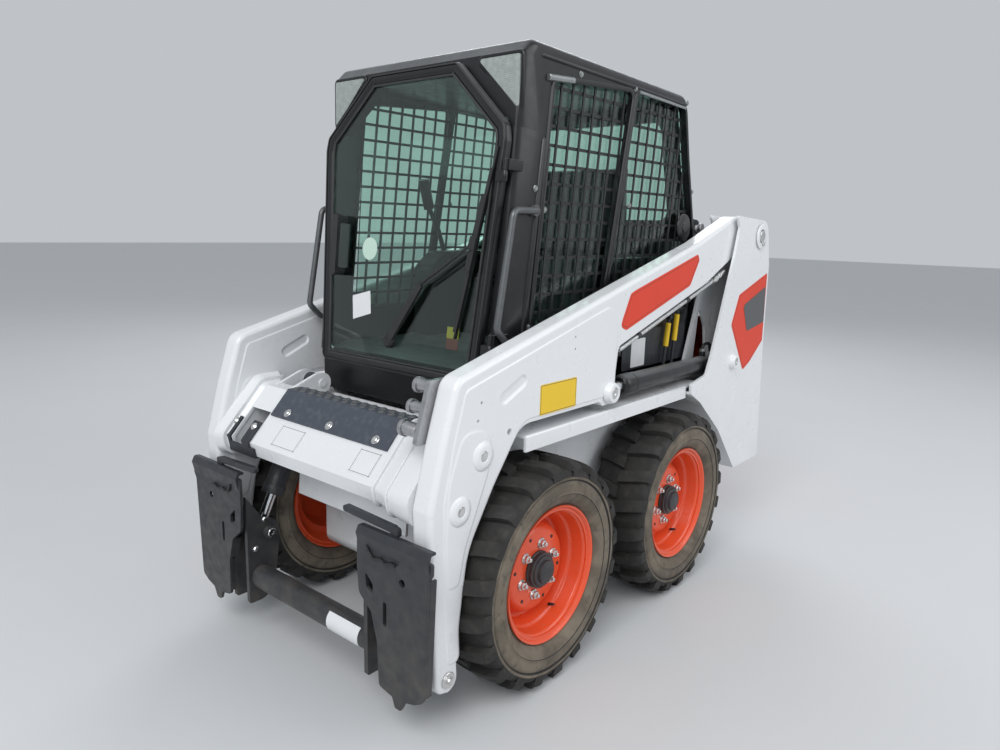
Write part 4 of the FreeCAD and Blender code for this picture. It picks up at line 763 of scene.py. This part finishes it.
def make_cab_side(side, hand):
    """The dark skirt under the cab's side with its blank label, and the two stays with yellow sleeves."""
    outline = rounded(box_outline(0.590, 1.062, 0.846, 0.985, 0.010))
    skirt = Form().prism(outline, side_place(hand * 0.4178, hand), 0.002)
    skirt.done(f"cab_skirt_{side}", BLACK, "cab", bevel=0.0006)
    label = box_outline(0.650, 0.748, 0.853, 0.955, 0.004)
    film(f"cab_label_{side}", label, side_place(hand * 0.4198, hand), PAPER, "cab")
    stays, sleeves = Form(), Form()
    for top, foot in (mm((893, 1020), (863, 800)), mm((959, 1052), (929, 800))):
        start, end = at(hand * 0.436, *top), at(hand * 0.436, *foot)
        stays.rod(start, end, 0.0060)
        sleeves.rod(start.lerp(end, 0.10), start.lerp(end, 0.50), 0.0100)
        stays.across(hand, 0.418, 0.446, top, 0.009, 20)
    stays.done(f"cab_stays_{side}", BLACK, "cab", smooth=30)
    sleeves.done(f"stay_sleeves_{side}", YELLOW, "cab", smooth=30)


def make_arm_pipes(side, hand):
    """The steel pipe along the arm's underside, its clamps, and the fittings near the pivot."""
    x = hand * 0.519
    route = mm((398, 958), (669, 1038), (960, 1121), (1060, 1152))
    bent_tube(f"arm_pipe_{side}", [at(x, *place) for place in route], 0.0075, ZINC, "lift_arms")
    clamps = Form()
    for y, z in mm((520, 994), (860, 1092.5)):
        clamps.lathe(mm((-9, 9.5), (-7, 10.5), (7, 10.5), (9, 9.5)), at(x, y, z), (0, 0.959, 0.283), 16)
    fittings = Form()
    for y, z, x0 in mm((1092, 1162, 519), (1128, 1164, 492), (1072, 1136, 474)):
        fittings.lathe(mm((-30, 8.5), (-12, 8.5), (-10, 12), (4, 12), (6, 9), (22, 9), (24, 11.5),
            (38, 11.5), (40, 9), (70, 8.8)), at(hand * x0, y, z), (0, 0.92, 0.39), 12)
    clamps.done(f"pipe_clamps_{side}", BLACK, "lift_arms", smooth=35)
    fittings.done(f"pipe_fittings_{side}", ZINC, "lift_arms", smooth=30)


def make_lift_barrel(side, hand):
    """A lift cylinder's barrel with its gland, base eye, port and the bent pipe that leaves it."""
    x, body = hand * LIFT_X, f"lift_barrel_{side}"
    foot, eye = at(x, *LIFT_FOOT), at(x, *LIFT_EYE)
    along = (eye - foot).normalized()
    barrel = Form().lathe(mm((16, 26), (40, 33), (50, 34), (700, 34), (702, 36), (722, 36), (724, 34.5),
        (728, 34.5), (730, 37), (772, 37), (784, 33), (790, 26), (790, 19.5), (70, 19.2)), foot, along, 48)
    barrel.lathe(mm((-22, 30), (-20, 32), (20, 32), (22, 30)), foot, (1, 0, 0), 36)
    port = foot + along * 0.165 + Vector((0, 0, 0.030))
    barrel.rod(port, port + Vector((0, 0, 0.022)), 0.0115)
    barrel = barrel.done(body + "_tube", CAB, body, bevel=0.0008, smooth=32)
    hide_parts(body)
    top = port + Vector((0, 0, 0.020))
    nut = Form().lathe(mm((0, 12.5), (10, 12.5), (12, 11)), top, (0, 0, 1), 6)
    nut.done(f"lift_port_{side}", ZINC, body, bevel=0.0005)
    route = mm((0, 0, 0), (0, 0, 20), (0, 12, 30), (0, 52, 30), (0, 64, 20), (0, 72, -4))
    bent_tube(f"lift_pipe_{side}", [top + Vector(step) for step in route], 0.0062, TRIM, body)


def make_rod_bar(rod, x, foot, eye, start, end, radius):
    """The length of a rod that its barrel hides at rest, by its ends' distances from the base pin."""
    foot, eye = at(x, *foot), at(x, *eye)
    along = (eye - foot).normalized()
    Form().rod(foot + along * start, foot + along * end, radius).done(rod + "_bar", CHROME, rod)


# How far the crossmember's elbows swell: across the machine, and out from its profile.
ELBOWS = (("left", mm((284, -1.5), (300, 1.5), (325, 7), (360, 16), (400, 24), (457.5, 28))),
          ("right", mm((-397, -1.5), (-405, 4), (-420, 14), (-440, 23), (-457.5, 28))))
# The crossmember in profile, and its sloping front as the tread and the films lie on it.
CROSSMEMBER = mm((-262, 600, 0), (-432, 613, 16), (-441, 655, 16), (-304, 804, 30), (-252, 804, 0))
NOSE, SHELF = mm((-441, 655), (-304, 804))
SLOPE = (Vector(SHELF) - Vector(NOSE)).normalized()
SLOPE_OUT = Vector((-SLOPE.y, SLOPE.x))
STUD = mm((0, 12.5), (2, 11), (4.2, 8), (4.4, 6.2), (1, 5.2))


def on_slope(x, along, out):
    """A place on the crossmember's sloping front: across, up the slope from its nose, out from its face."""
    y, z = Vector(NOSE) + SLOPE * along + SLOPE_OUT * out
    return at(x, y, z)


def make_crossmember_details():
    """Elbows into the arms, the tread's studs and bolts, the guard's bolts and two blank plates."""
    outline = rounded(CROSSMEMBER)
    for side, stations in ELBOWS:
        rows = [[at(x, *point) for point in drawn_in(outline, -out)] for x, out in stations]
        Form().rows(rows).done(f"crossmember_elbow_{side}", WHITE, "lift_arms", smooth=50)
    ribs = Form()
    for x, out, thick in mm((302, 13, 7), (368, 25, 6), (-420, 22, 7)):
        ribs.prism(drawn_in(outline, -out), side_place(x, 1), thick)
    ribs.done("crossmember_ribs", WHITE, "lift_arms", bevel=0.0018)
    metal, slope_out = Form(), on_slope(0, 0, 1) - on_slope(0, 0, 0)
    for x in (-0.200, 0.007, 0.215):
        spot = on_slope(x, 0.126, 0.0063)
        metal.lathe(mm((0, 14), (1.5, 14), (2.2, 13)), spot, slope_out, 24)
        head = mm((2, 10), (5.5, 9.5), (7, 7.5), (7, 4.5), (4.5, 4))
        metal.lathe(head, spot, slope_out, 20)
    for x in (-0.416, -0.310):
        spot = on_slope(x, 0.052, 0.0075)
        metal.lathe(mm((0, 12.5), (1.5, 12.5), (5, 9), (7, 6)), spot, slope_out, 24)
    metal.done("crossmember_bolts", ZINC, "lift_arms", smooth=30)
    studs = Form()
    for row, y in enumerate((-0.291, -0.268)):
        for i in range(13):
            x = -0.252 + 0.0415 * i + (0.0207 if row else 0.0)
            studs.lathe(STUD, at(x, y, 0.8103), (0, 0, 1), 20)
    studs.done("tread_studs", GREY, "lift_arms", smooth=35)
    for name, x0, x1, low, high in (("near", -0.192, -0.074, 0.015, 0.088),
                                    ("far", 0.176, 0.264, 0.020, 0.094)):
        corners = box_outline(x0, x1, low, high, 0.003)
        lined_film("slope_plate", name, corners, on_slope, PAPER, "lift_arms", 0.003, 0.0012, EDGE)


FACE_Y, FACE_METAL = -0.477, 0.010
FACE = mm(
    (285, 545, 4), (565, 537, 6), (564, 506, 10), (552, 488, 12), (537, 152, 20), (505, 134, 14),
    (470, 124, 6), (453, 92, 6), (431, 92, 6), (420, 120, 4), (368, 130, 12), (362, 255, 40),
    (338, 334, 20), (290, 372, 20), (283, 450, 20))
FACE_WINDOW = mm((316, 442, 4), (347, 412, 4), (346, 386, 4), (321, 398, 3))
FACE_LIP = mm(
    (-487, 505), (-496.5, 546, 8), (-487, 566, 8), (-466, 564, 3), (-466, 556, 3), (-482, 556, 6),
    (-486, 544, 4), (-477, 505))
# The foot and the top of each flange behind a face.
FACE_FLANGES = mm((529, 160, 544, 485), (370, 140, 364, 252), (364, 256, 340, 330))
FACE_EAR = mm(
    (-469, 140, 10), (-409, 127, 8), (-351, 130, 34), (-351, 205, 34), (-432, 300, 60), (-469, 480))


def make_coupler_plate(side, hand):
    """A face of the quick coupler: rolled lip, window, slot, side flanges and the ears on the arm's toe."""
    body = "coupler"
    face = Form().prism(rounded(FACE), front_place(FACE_Y, hand), FACE_METAL).solid(f"coupler_face_{side}")
    slot, round_hole = capsule((0.393, 0.317), (0.393, 0.372), 0.0065), ring_outline(0.459, 0.454, 0.0105, 32)
    for hole in (rounded(FACE_WINDOW), slot, round_hole):
        combine(face, Form().prism(hole, front_place(FACE_Y + 0.01, hand), 0.04).solid("hole"))
    finish_piece(face, BLACK, body, bevel=0.0014, smooth=34)
    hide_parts(f"coupler_plate_{side}")
    rest = Form().prism(rounded(FACE_LIP), side_place(hand * 0.291, hand), 0.268)
    for u0, v0, u1, v1 in FACE_FLANGES:
        flange = rounded([(u0, v0), (u0 + 0.0075, v0), (u1 + 0.0075, v1), (u1, v1)])
        rest.prism(flange, front_place(FACE_Y + 0.0225, hand), 0.0225)
    for near in (ARM_INNER - 0.022, ARM_INNER - 0.052):
        plate = Form().prism(rounded(FACE_EAR), side_place(hand * near, hand), 0.014).solid("ear")
        combine(plate, Form().across(hand, near - 0.01, near + 0.03, COUPLER_PIN, 0.0193, 32).solid("bore"))
        finish_piece(plate, BLACK, body, bevel=0.0012)
    rest.done(f"coupler_flanges_{side}", BLACK, body, bevel=0.0012, smooth=34)
    route = mm((330, 520), (338, 500), (358, 488), (380, 500), (402, 488), (424, 500), (440, 496))
    wire = [at(hand * u, FACE_Y - FACE_METAL - 0.0045, v) for u, v in route]
    bent_tube(f"lock_spring_{side}", wire, 0.0036, MESH, body)


# The coupler's cross tube, and the section of the label round it: across the machine, and radius.
CROSS_TUBE = (-0.420, 0.200)
TUBE_LABEL = mm((105, 38.3), (105, 39), (245, 39), (245, 38.3))


def make_coupler_details():
    """The blank label on the cross tube and the bright ends of the tilt pin."""
    rows = []
    for degrees in range(-38, 53, 6):
        angle = math.radians(degrees)
        rows.append([at(x, CROSS_TUBE[0] - radius * math.cos(angle), CROSS_TUBE[1] + radius * math.sin(angle))
                     for x, radius in TUBE_LABEL])
    Form().rows(rows).done("tube_label", PAPER, "coupler", smooth=50)
    pins = Form()
    pins.lathe(mm((0, 15), (3, 15), (5, 13), (5, 6), (2, 5)), at(-0.270, *TILT_EYE), (1, 0, 0), 28)
    pins.bolt(at(-0.285, -0.440, 0.300), (1, 0, 0), 0.0075, 0.6)
    pins.bolt(at(-0.285, -0.405, 0.392), (1, 0, 0), 0.0060, 0.6)
    pins.done("tilt_pin_ends", CHROME, "coupler", smooth=30)


DOOR_FOOT = Vector((-0.116, 0.878))
DOOR_LEAN = math.radians(5.7)
DOOR_HALF, DOOR_TOP = 0.394, 0.926
HINGE_X, HINGE_HEIGHTS = 0.402, (1.010, 1.490)


def on_door(x, up, out=0.0):
    """A place on the door: across from its middle, up its face from its foot, out from its face."""
    y = DOOR_FOOT.x + up * math.sin(DOOR_LEAN) - out * math.cos(DOOR_LEAN)
    z = DOOR_FOOT.y + up * math.cos(DOOR_LEAN) + out * math.sin(DOOR_LEAN)
    return at(x, y, z)


def hinge_place(height):
    """The door hinges' line at a height."""
    return at(HINGE_X, DOOR_FOOT.x + math.tan(DOOR_LEAN) * (height - DOOR_FOOT.y), height)


def round_section(inset, depth, width, height):
    """A closed oval section for a band."""
    turns = [2 * math.pi * i / 12 for i in range(12)]
    return [(inset + width * math.cos(turn), depth + height * math.sin(turn)) for turn in turns]


def make_door():
    """The door's rounded frame with its two seals and hinges, wiper, and what sticks on the glass."""
    frame_section = mm(
        (0, -27), (0, -10), (2, -5), (6, -1.5), (12, 0), (20, -0.5), (26, -3), (31.5, -7.5), (33.8, -12),
        (33.8, -27))
    corners = [(DOOR_HALF - 0.044, 0.0, 0.024), (DOOR_HALF, 0.700, 0.060), (DOOR_HALF - 0.008, 0.742, 0.030),
               (0.186, DOOR_TOP, 0.020)]
    outline = rounded([(-u, v, radius) for u, v, radius in corners[:1]] + corners
                      + [(-u, v, radius) for u, v, radius in corners[:0:-1]], 6)
    leaf = Form().band(outline, frame_section, on_door)
    axis = on_door(0, 1) - on_door(0, 0)
    for height in HINGE_HEIGHTS:
        up = (height - DOOR_FOOT.y) / math.cos(DOOR_LEAN)
        foot = hinge_place(height)
        leaf.rod(foot - axis * 0.030, foot, 0.008, 24)
        leaf.prism(rounded(box_outline(0.372, HINGE_X, up - 0.030, up, 0.003)), on_door, 0.004)
    leaf = leaf.done("door_leaf", CAB, "door", smooth=45)
    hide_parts("door_frame")
    seals = Form()
    seals.band(outline, round_section(0.0345, -0.0060, 0.0042, 0.0045), on_door)
    seals.band(outline, round_section(0.0050, 0.0004, 0.0022, 0.0022), on_door)
    seals.done("door_seals", SEAL, "door", smooth=60)

    wiper = Form()
    low, high = Vector((0.265, 0.137)), Vector((0.371, 0.680))
    lean = (high - low).normalized()
    wide = Vector((lean.y, -lean.x))

    def strip(start, end, width_start, width_end, near, far):
        along = (end - start).normalized()
        cross = Vector((along.y, -along.x))
        corners = [start - cross * width_start / 2, end - cross * width_end / 2, end + cross * width_end / 2,
                   start + cross * width_start / 2]
        wiper.prism(corners, lambda u, v, depth: on_door(u, v, near + depth), far - near)

    strip(low, high, 0.006, 0.006, -0.0070, 0.0040)
    strip(low + lean * 0.02, high - lean * 0.06, 0.013, 0.011, 0.0040, 0.0085)
    strip(low + lean * 0.20, low + lean * 0.42, 0.020, 0.018, 0.0085, 0.0150)
    joint = low.lerp(high, 0.51)
    strip(joint - lean * 0.018, joint + lean * 0.018, 0.026, 0.022, 0.0085, 0.0200)
    hub = Vector((-0.010, 0.100))
    elbow = Vector((0.120, 0.285))
    strip(hub, elbow, 0.030, 0.020, 0.006, 0.016)
    strip(elbow, joint, 0.0065, 0.0065, 0.011, 0.017)
    strip(elbow + wide * 0.016, joint - lean * 0.020, 0.0050, 0.0050, 0.011, 0.016)
    outward = on_door(0, 0, 1) - on_door(0, 0)
    wiper.lathe(mm((-7, 24), (10, 22), (16, 16)), on_door(*hub), outward, 28)
    wiper = wiper.done("wiper_arm", TRIM, "door", bevel=0.0006)
    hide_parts("wiper")

    paper = rounded(mm((-207, 150), (-120, 176), (-130, 249), (-216, 227)))
    disc = ring_outline(-0.146, 0.383, 0.036, 36)
    upper, lower = (rounded(box_outline(0.208, 0.256, *ends)) for ends in mm((134, 168), (100, 133.8)))
    for name, outline, depth, thick, material in (
            ("glass_paper", paper, -0.008, 0.0006, PAPER), ("glass_disc", disc, -0.008, 0.0006, MINT),
            ("tag_upper", upper, -0.030, 0.001, YELLOW), ("tag_lower", lower, -0.030, 0.001, RUST)):
        place = lambda u, v, out: on_door(u, v, out + depth)
        Form().prism(outline, place, thick).done(name, material, "door")


# The cab from the side: behind the front axle, height, corner radius, how far in and how deep it rounds.
CAB_HALF, CAB_WALL, CAB_SILL = 0.417, 0.012, 0.905
CAB_SIDE = mm(
    (-93, 800, 0, 60, 20), (-62, 1100, 400, 70, 22), (-11, 1610, 400, 118, 24), (10, 1812, 0, 34, 24),
    (44, 1846, 30, 26, 26), (964, 1824, 50, 26, 26), (1009, 1602, 60, 26, 26), (1100, 1306, 30, 22, 22),
    (1100, 800, 0, 20, 20))
SIDE_OPENINGS = [
    mm((138, 1748, 20), (566, 1778, 20), (424, 1040, 20), (60, 1040, 30)),
    mm((598, 1780, 20), (936, 1786, 40), (984, 1602, 50), (1070, 1320, 30), (1060, 1040, 20), (456, 1040, 20)),
]
CAB_BOLTS = mm(
    (62, 1447), (108, 1390), (52, 1052), (266, 1786), (583, 1792), (952, 1797), (1040, 1487), (583, 1420),
    (440, 1020))
LENS_OUTLINE = mm((246, 1800, 6), (398, 1800, 6), (400, 1655, 6))
OPENING_FRAME = mm((-16, -1), (-14.5, 3.2), (-10, 4.5), (-3, 4.5), (0, 3), (0, -4))
GUTTER = mm((75, 1799, 4), (945, 1783, 4), (945, 1795, 4), (75, 1811, 4))
# Pressed beads and rails of a side: both ends, and radius.
POST_BEADS = mm((10, 925, 96, 1580, 10.5), (40, 925, 118, 1560, 7.5))
RAILS = mm((100, 1752, 222, 1761, 9.5), (604, 1785, 934, 1777, 5))


def front_place(y, hand=1):
    """Outlines of (across, up) in a plane that faces ahead, with depth towards the front."""
    return lambda u, v, depth: at(hand * u, y - depth, v)


def make_cab_shell():
    """The cab's shell: one formed skin with rounded corners, open at the door, sides, back and foot."""
    widths = list(zip(at_corners(CAB_SIDE, 3), at_corners(CAB_SIDE, 4)))
    skin = Form().formed(rounded(CAB_SIDE), widths, side_place(-CAB_HALF, 1), 2 * CAB_HALF, 5)
    shell = skin.solid("cab_skin")
    through = side_place(-0.50, 1)
    foot = rounded(box_outline(-0.30, 1.30, 0.70, CAB_SILL))
    combine(shell, Form().prism(foot, through, 1.0).solid("foot"))
    room = mm(
        (-28, 850), (46, 1590), (46, 1796), (946, 1786, 40), (996, 1598, 50), (1088, 1302, 10), (1088, 850))
    inner = CAB_HALF - CAB_WALL
    combine(shell, Form().prism(rounded(room), side_place(-inner, 1), 2 * inner).solid("room"))
    tunnel = mm((-371, 860), (371, 860), (371, 1630), (178, 1768), (-178, 1768), (-371, 1630))
    combine(shell, Form().prism(rounded(tunnel), front_place(0.10), 0.30).solid("tunnel"))
    for opening in SIDE_OPENINGS:
        combine(shell, Form().prism(rounded(opening), through, 1.0).solid("opening"))
    rear = rounded(box_outline(-0.310, 0.310, 1.380, 1.740, 0.040))
    combine(shell, Form().prism(rear, front_place(1.20), 0.26).solid("rear"))
    for hand in (1, -1):
        window = drawn_in(rounded(LENS_OUTLINE), -0.0003)
        combine(shell, Form().prism(window, front_place(0.012, hand), 0.06).solid("lens_room"))
    finish_piece(shell, CAB, "cab", smooth=34, flat=True)
    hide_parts("cab_shell")


def make_cab_trim():
    """Frames round the side screens and lamps, hinge knuckles, rails, gutter, bolts and the sill."""
    for side, hand in SIDES:
        trim, bolts = Form(), Form()
        face = side_place(hand * CAB_HALF, hand)
        for opening in SIDE_OPENINGS:
            trim.band(rounded(opening), OPENING_FRAME, face)
        trim.raised(rounded(GUTTER), face, 0.005, 0.003)
        for y0, z0, y1, z1, radius in POST_BEADS:
            trim.raised(capsule((y0, z0), (y1, z1), radius), face, 0.006, 0.005)
        around = drawn_in(rounded(LENS_OUTLINE), -0.010)
        trim.band(around, round_section(0.004, 0.001, 0.006, 0.0035), front_place(0.008, hand))
        trim.lathe(mm((0, 52), (4, 51), (6, 47), (6, 20), (9, 18)), face(0.992, 1.352, 0.0), (hand, 0, 0),
            40)
        for y, z in CAB_BOLTS:
            bolts.bolt(face(y, z, 0.0), (hand, 0, 0), 0.0070, 0.45)
        for y0, z0, y1, z1, radius in RAILS:
            bolts.rod(face(y0, z0, 0.004), face(y1, z1, 0.004), radius)
        bolts.done(f"cab_bolts_{side}", RAIL, "cab", smooth=30)
        trim.done(f"cab_trim_{side}", CAB, "cab", smooth=50)
    knuckles = Form()
    axis = on_door(0, 1) - on_door(0, 0)
    for height in HINGE_HEIGHTS:
        foot = hinge_place(height)
        knuckles.rod(foot + axis * 0.0003, foot + axis * 0.030, 0.008, 24)
        knuckles.rod(foot - axis * 0.032, foot + axis * 0.034, 0.004, 16)
        place = lambda u, v, depth: foot + axis * v + Vector((u, depth, 0))
        knuckles.prism(rounded(box_outline(0.002, 0.013, 0.0003, 0.030, 0.002)), place, 0.060)
    knuckles.done("door_knuckles", CAB, "cab", smooth=40)
    sill = rounded(box_outline(-0.404, 0.404, CAB_SILL, 0.917))
    Form().prism(sill, front_place(-0.070), -0.600).done("cab_floor_front", CAB, "cab")
    ears = Form()
    for hand in (1, -1):
        ear = rounded(mm((1092, 1302), (1158, 1322, 29), (1158, 1382, 29), (1066, 1390)))
        ears.prism(ear, side_place(hand * (CAB_HALF - CAB_WALL - 0.010), hand), 0.010)
    ears.done("cab_pivot_ears", CAB, "cab", bevel=0.001)


# The furthest that a point of the seat's covers swells.
SWELL = 0.010


def pad(name, corners, width, half):
    """A padded block of the seat, swollen by a cloth simulation over its foam."""
    outline = rounded(corners)
    block = Form().formed(outline, [(width, width)] * len(outline), side_place(-half, 1), 2 *
        half).solid(name)
    weave = block.modifiers.new("weave", "REMESH")
    weave.mode = "VOXEL"
    weave.voxel_size = 0.010
    even = block.modifiers.new("even", "SMOOTH")
    even.iterations = 6
    bake(block)
    swell(block)
    fine = block.modifiers.new("fine", "SUBSURF")
    fine.levels = fine.render_levels = 1
    finish_piece(block, VINYL, "cab", smooth=60)
    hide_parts("seat")


def swell(piece):
    """Blows a cover up a little over its foam."""
    before = [vertex.co.copy() for vertex in piece.data.vertices]
    cloth = piece.modifiers.new("cover", "CLOTH")
    cloth.settings.use_pressure = True
    cloth.settings.uniform_pressure_force = 4
    cloth.settings.effector_weights.gravity = 0
    cloth.point_cache.frame_end = 16
    for step in range(1, 17):
        bpy.context.scene.frame_set(step)
    bake(piece)
    bpy.context.scene.frame_set(1)
    for vertex, place in zip(piece.data.vertices, before):
        moved = vertex.co - place
        vertex.co = place + moved * min(1.0, SWELL / max(moved.length, 1e-6))


def make_seat():
    """The seat's cushion and back, each a padded cover, on the plate beneath."""
    cushion = mm((545, 1146, 20), (862, 1140, 20), (862, 1214, 30), (552, 1224, 35))
    pad("seat_cushion", cushion, 0.028, 0.222)
    back = mm((884, 1222, 20), (962, 1222, 20), (938, 1580, 30), (888, 1588, 35))
    pad("seat_back", back, 0.026, 0.208)
    plate = mm((530, 1130.3, 4), (975, 1130.3, 4), (975, 1140, 4), (530, 1140, 4))
    pan = Form().prism(rounded(plate), side_place(-0.235, 1), 0.470)
    post = mm((930, 1139), (972, 1139), (972, 1300, 6), (940, 1300, 6))
    pan.prism(rounded(post), side_place(-0.060, 1), 0.120)
    pan.done("seat_pan", TRIM, "cab", bevel=0.001)


def make_tail_lamps():
    for side, hand in SIDES:
        place = lambda u, v, depth: at(hand * u, 1.606 - 0.0996 * (v - 0.400) + depth, v)
        lamp = rounded(box_outline(0.452, 0.528, 0.560, 0.650, 0.010))
        edge = Form().band(lamp, mm((0, -4), (0, 10), (6, 10), (6, -4)), place)
        edge.done(f"lamp_frame_{side}", TRIM, "frame", bevel=0.001)
        lens = Form().raised(drawn_in(lamp, 0.0062), place, 0.012, 0.006, root=0.004)
        lens.done(f"tail_lamp_{side}", LAMP, "frame", smooth=50)


make_camera()
make_studio()
dress_nodes()
for wheel, side, row in WHEELS:
    make_tyre(wheel, side, row)
    make_rim(wheel, side, row)
make_side_films()
for side, hand in SIDES:
    make_arm(side, hand)
    make_tower_details(side, hand)
    make_cab_side(side, hand)
    make_arm_pipes(side, hand)
    make_lift_barrel(side, hand)
    make_rod_bar(f"lift_rod_{side}", hand * LIFT_X, LIFT_FOOT, LIFT_EYE, 0.080, 0.690, 0.0188)
    make_coupler_plate(side, hand)
make_rod_bar("tilt_rod", TILT_X, TILT_FOOT, TILT_EYE, 0.090, 0.300, 0.0158)
make_crossmember_details()
make_coupler_details()
make_cab_shell()
make_cab_trim()
make_door()
make_seat()
make_tail_lamps()
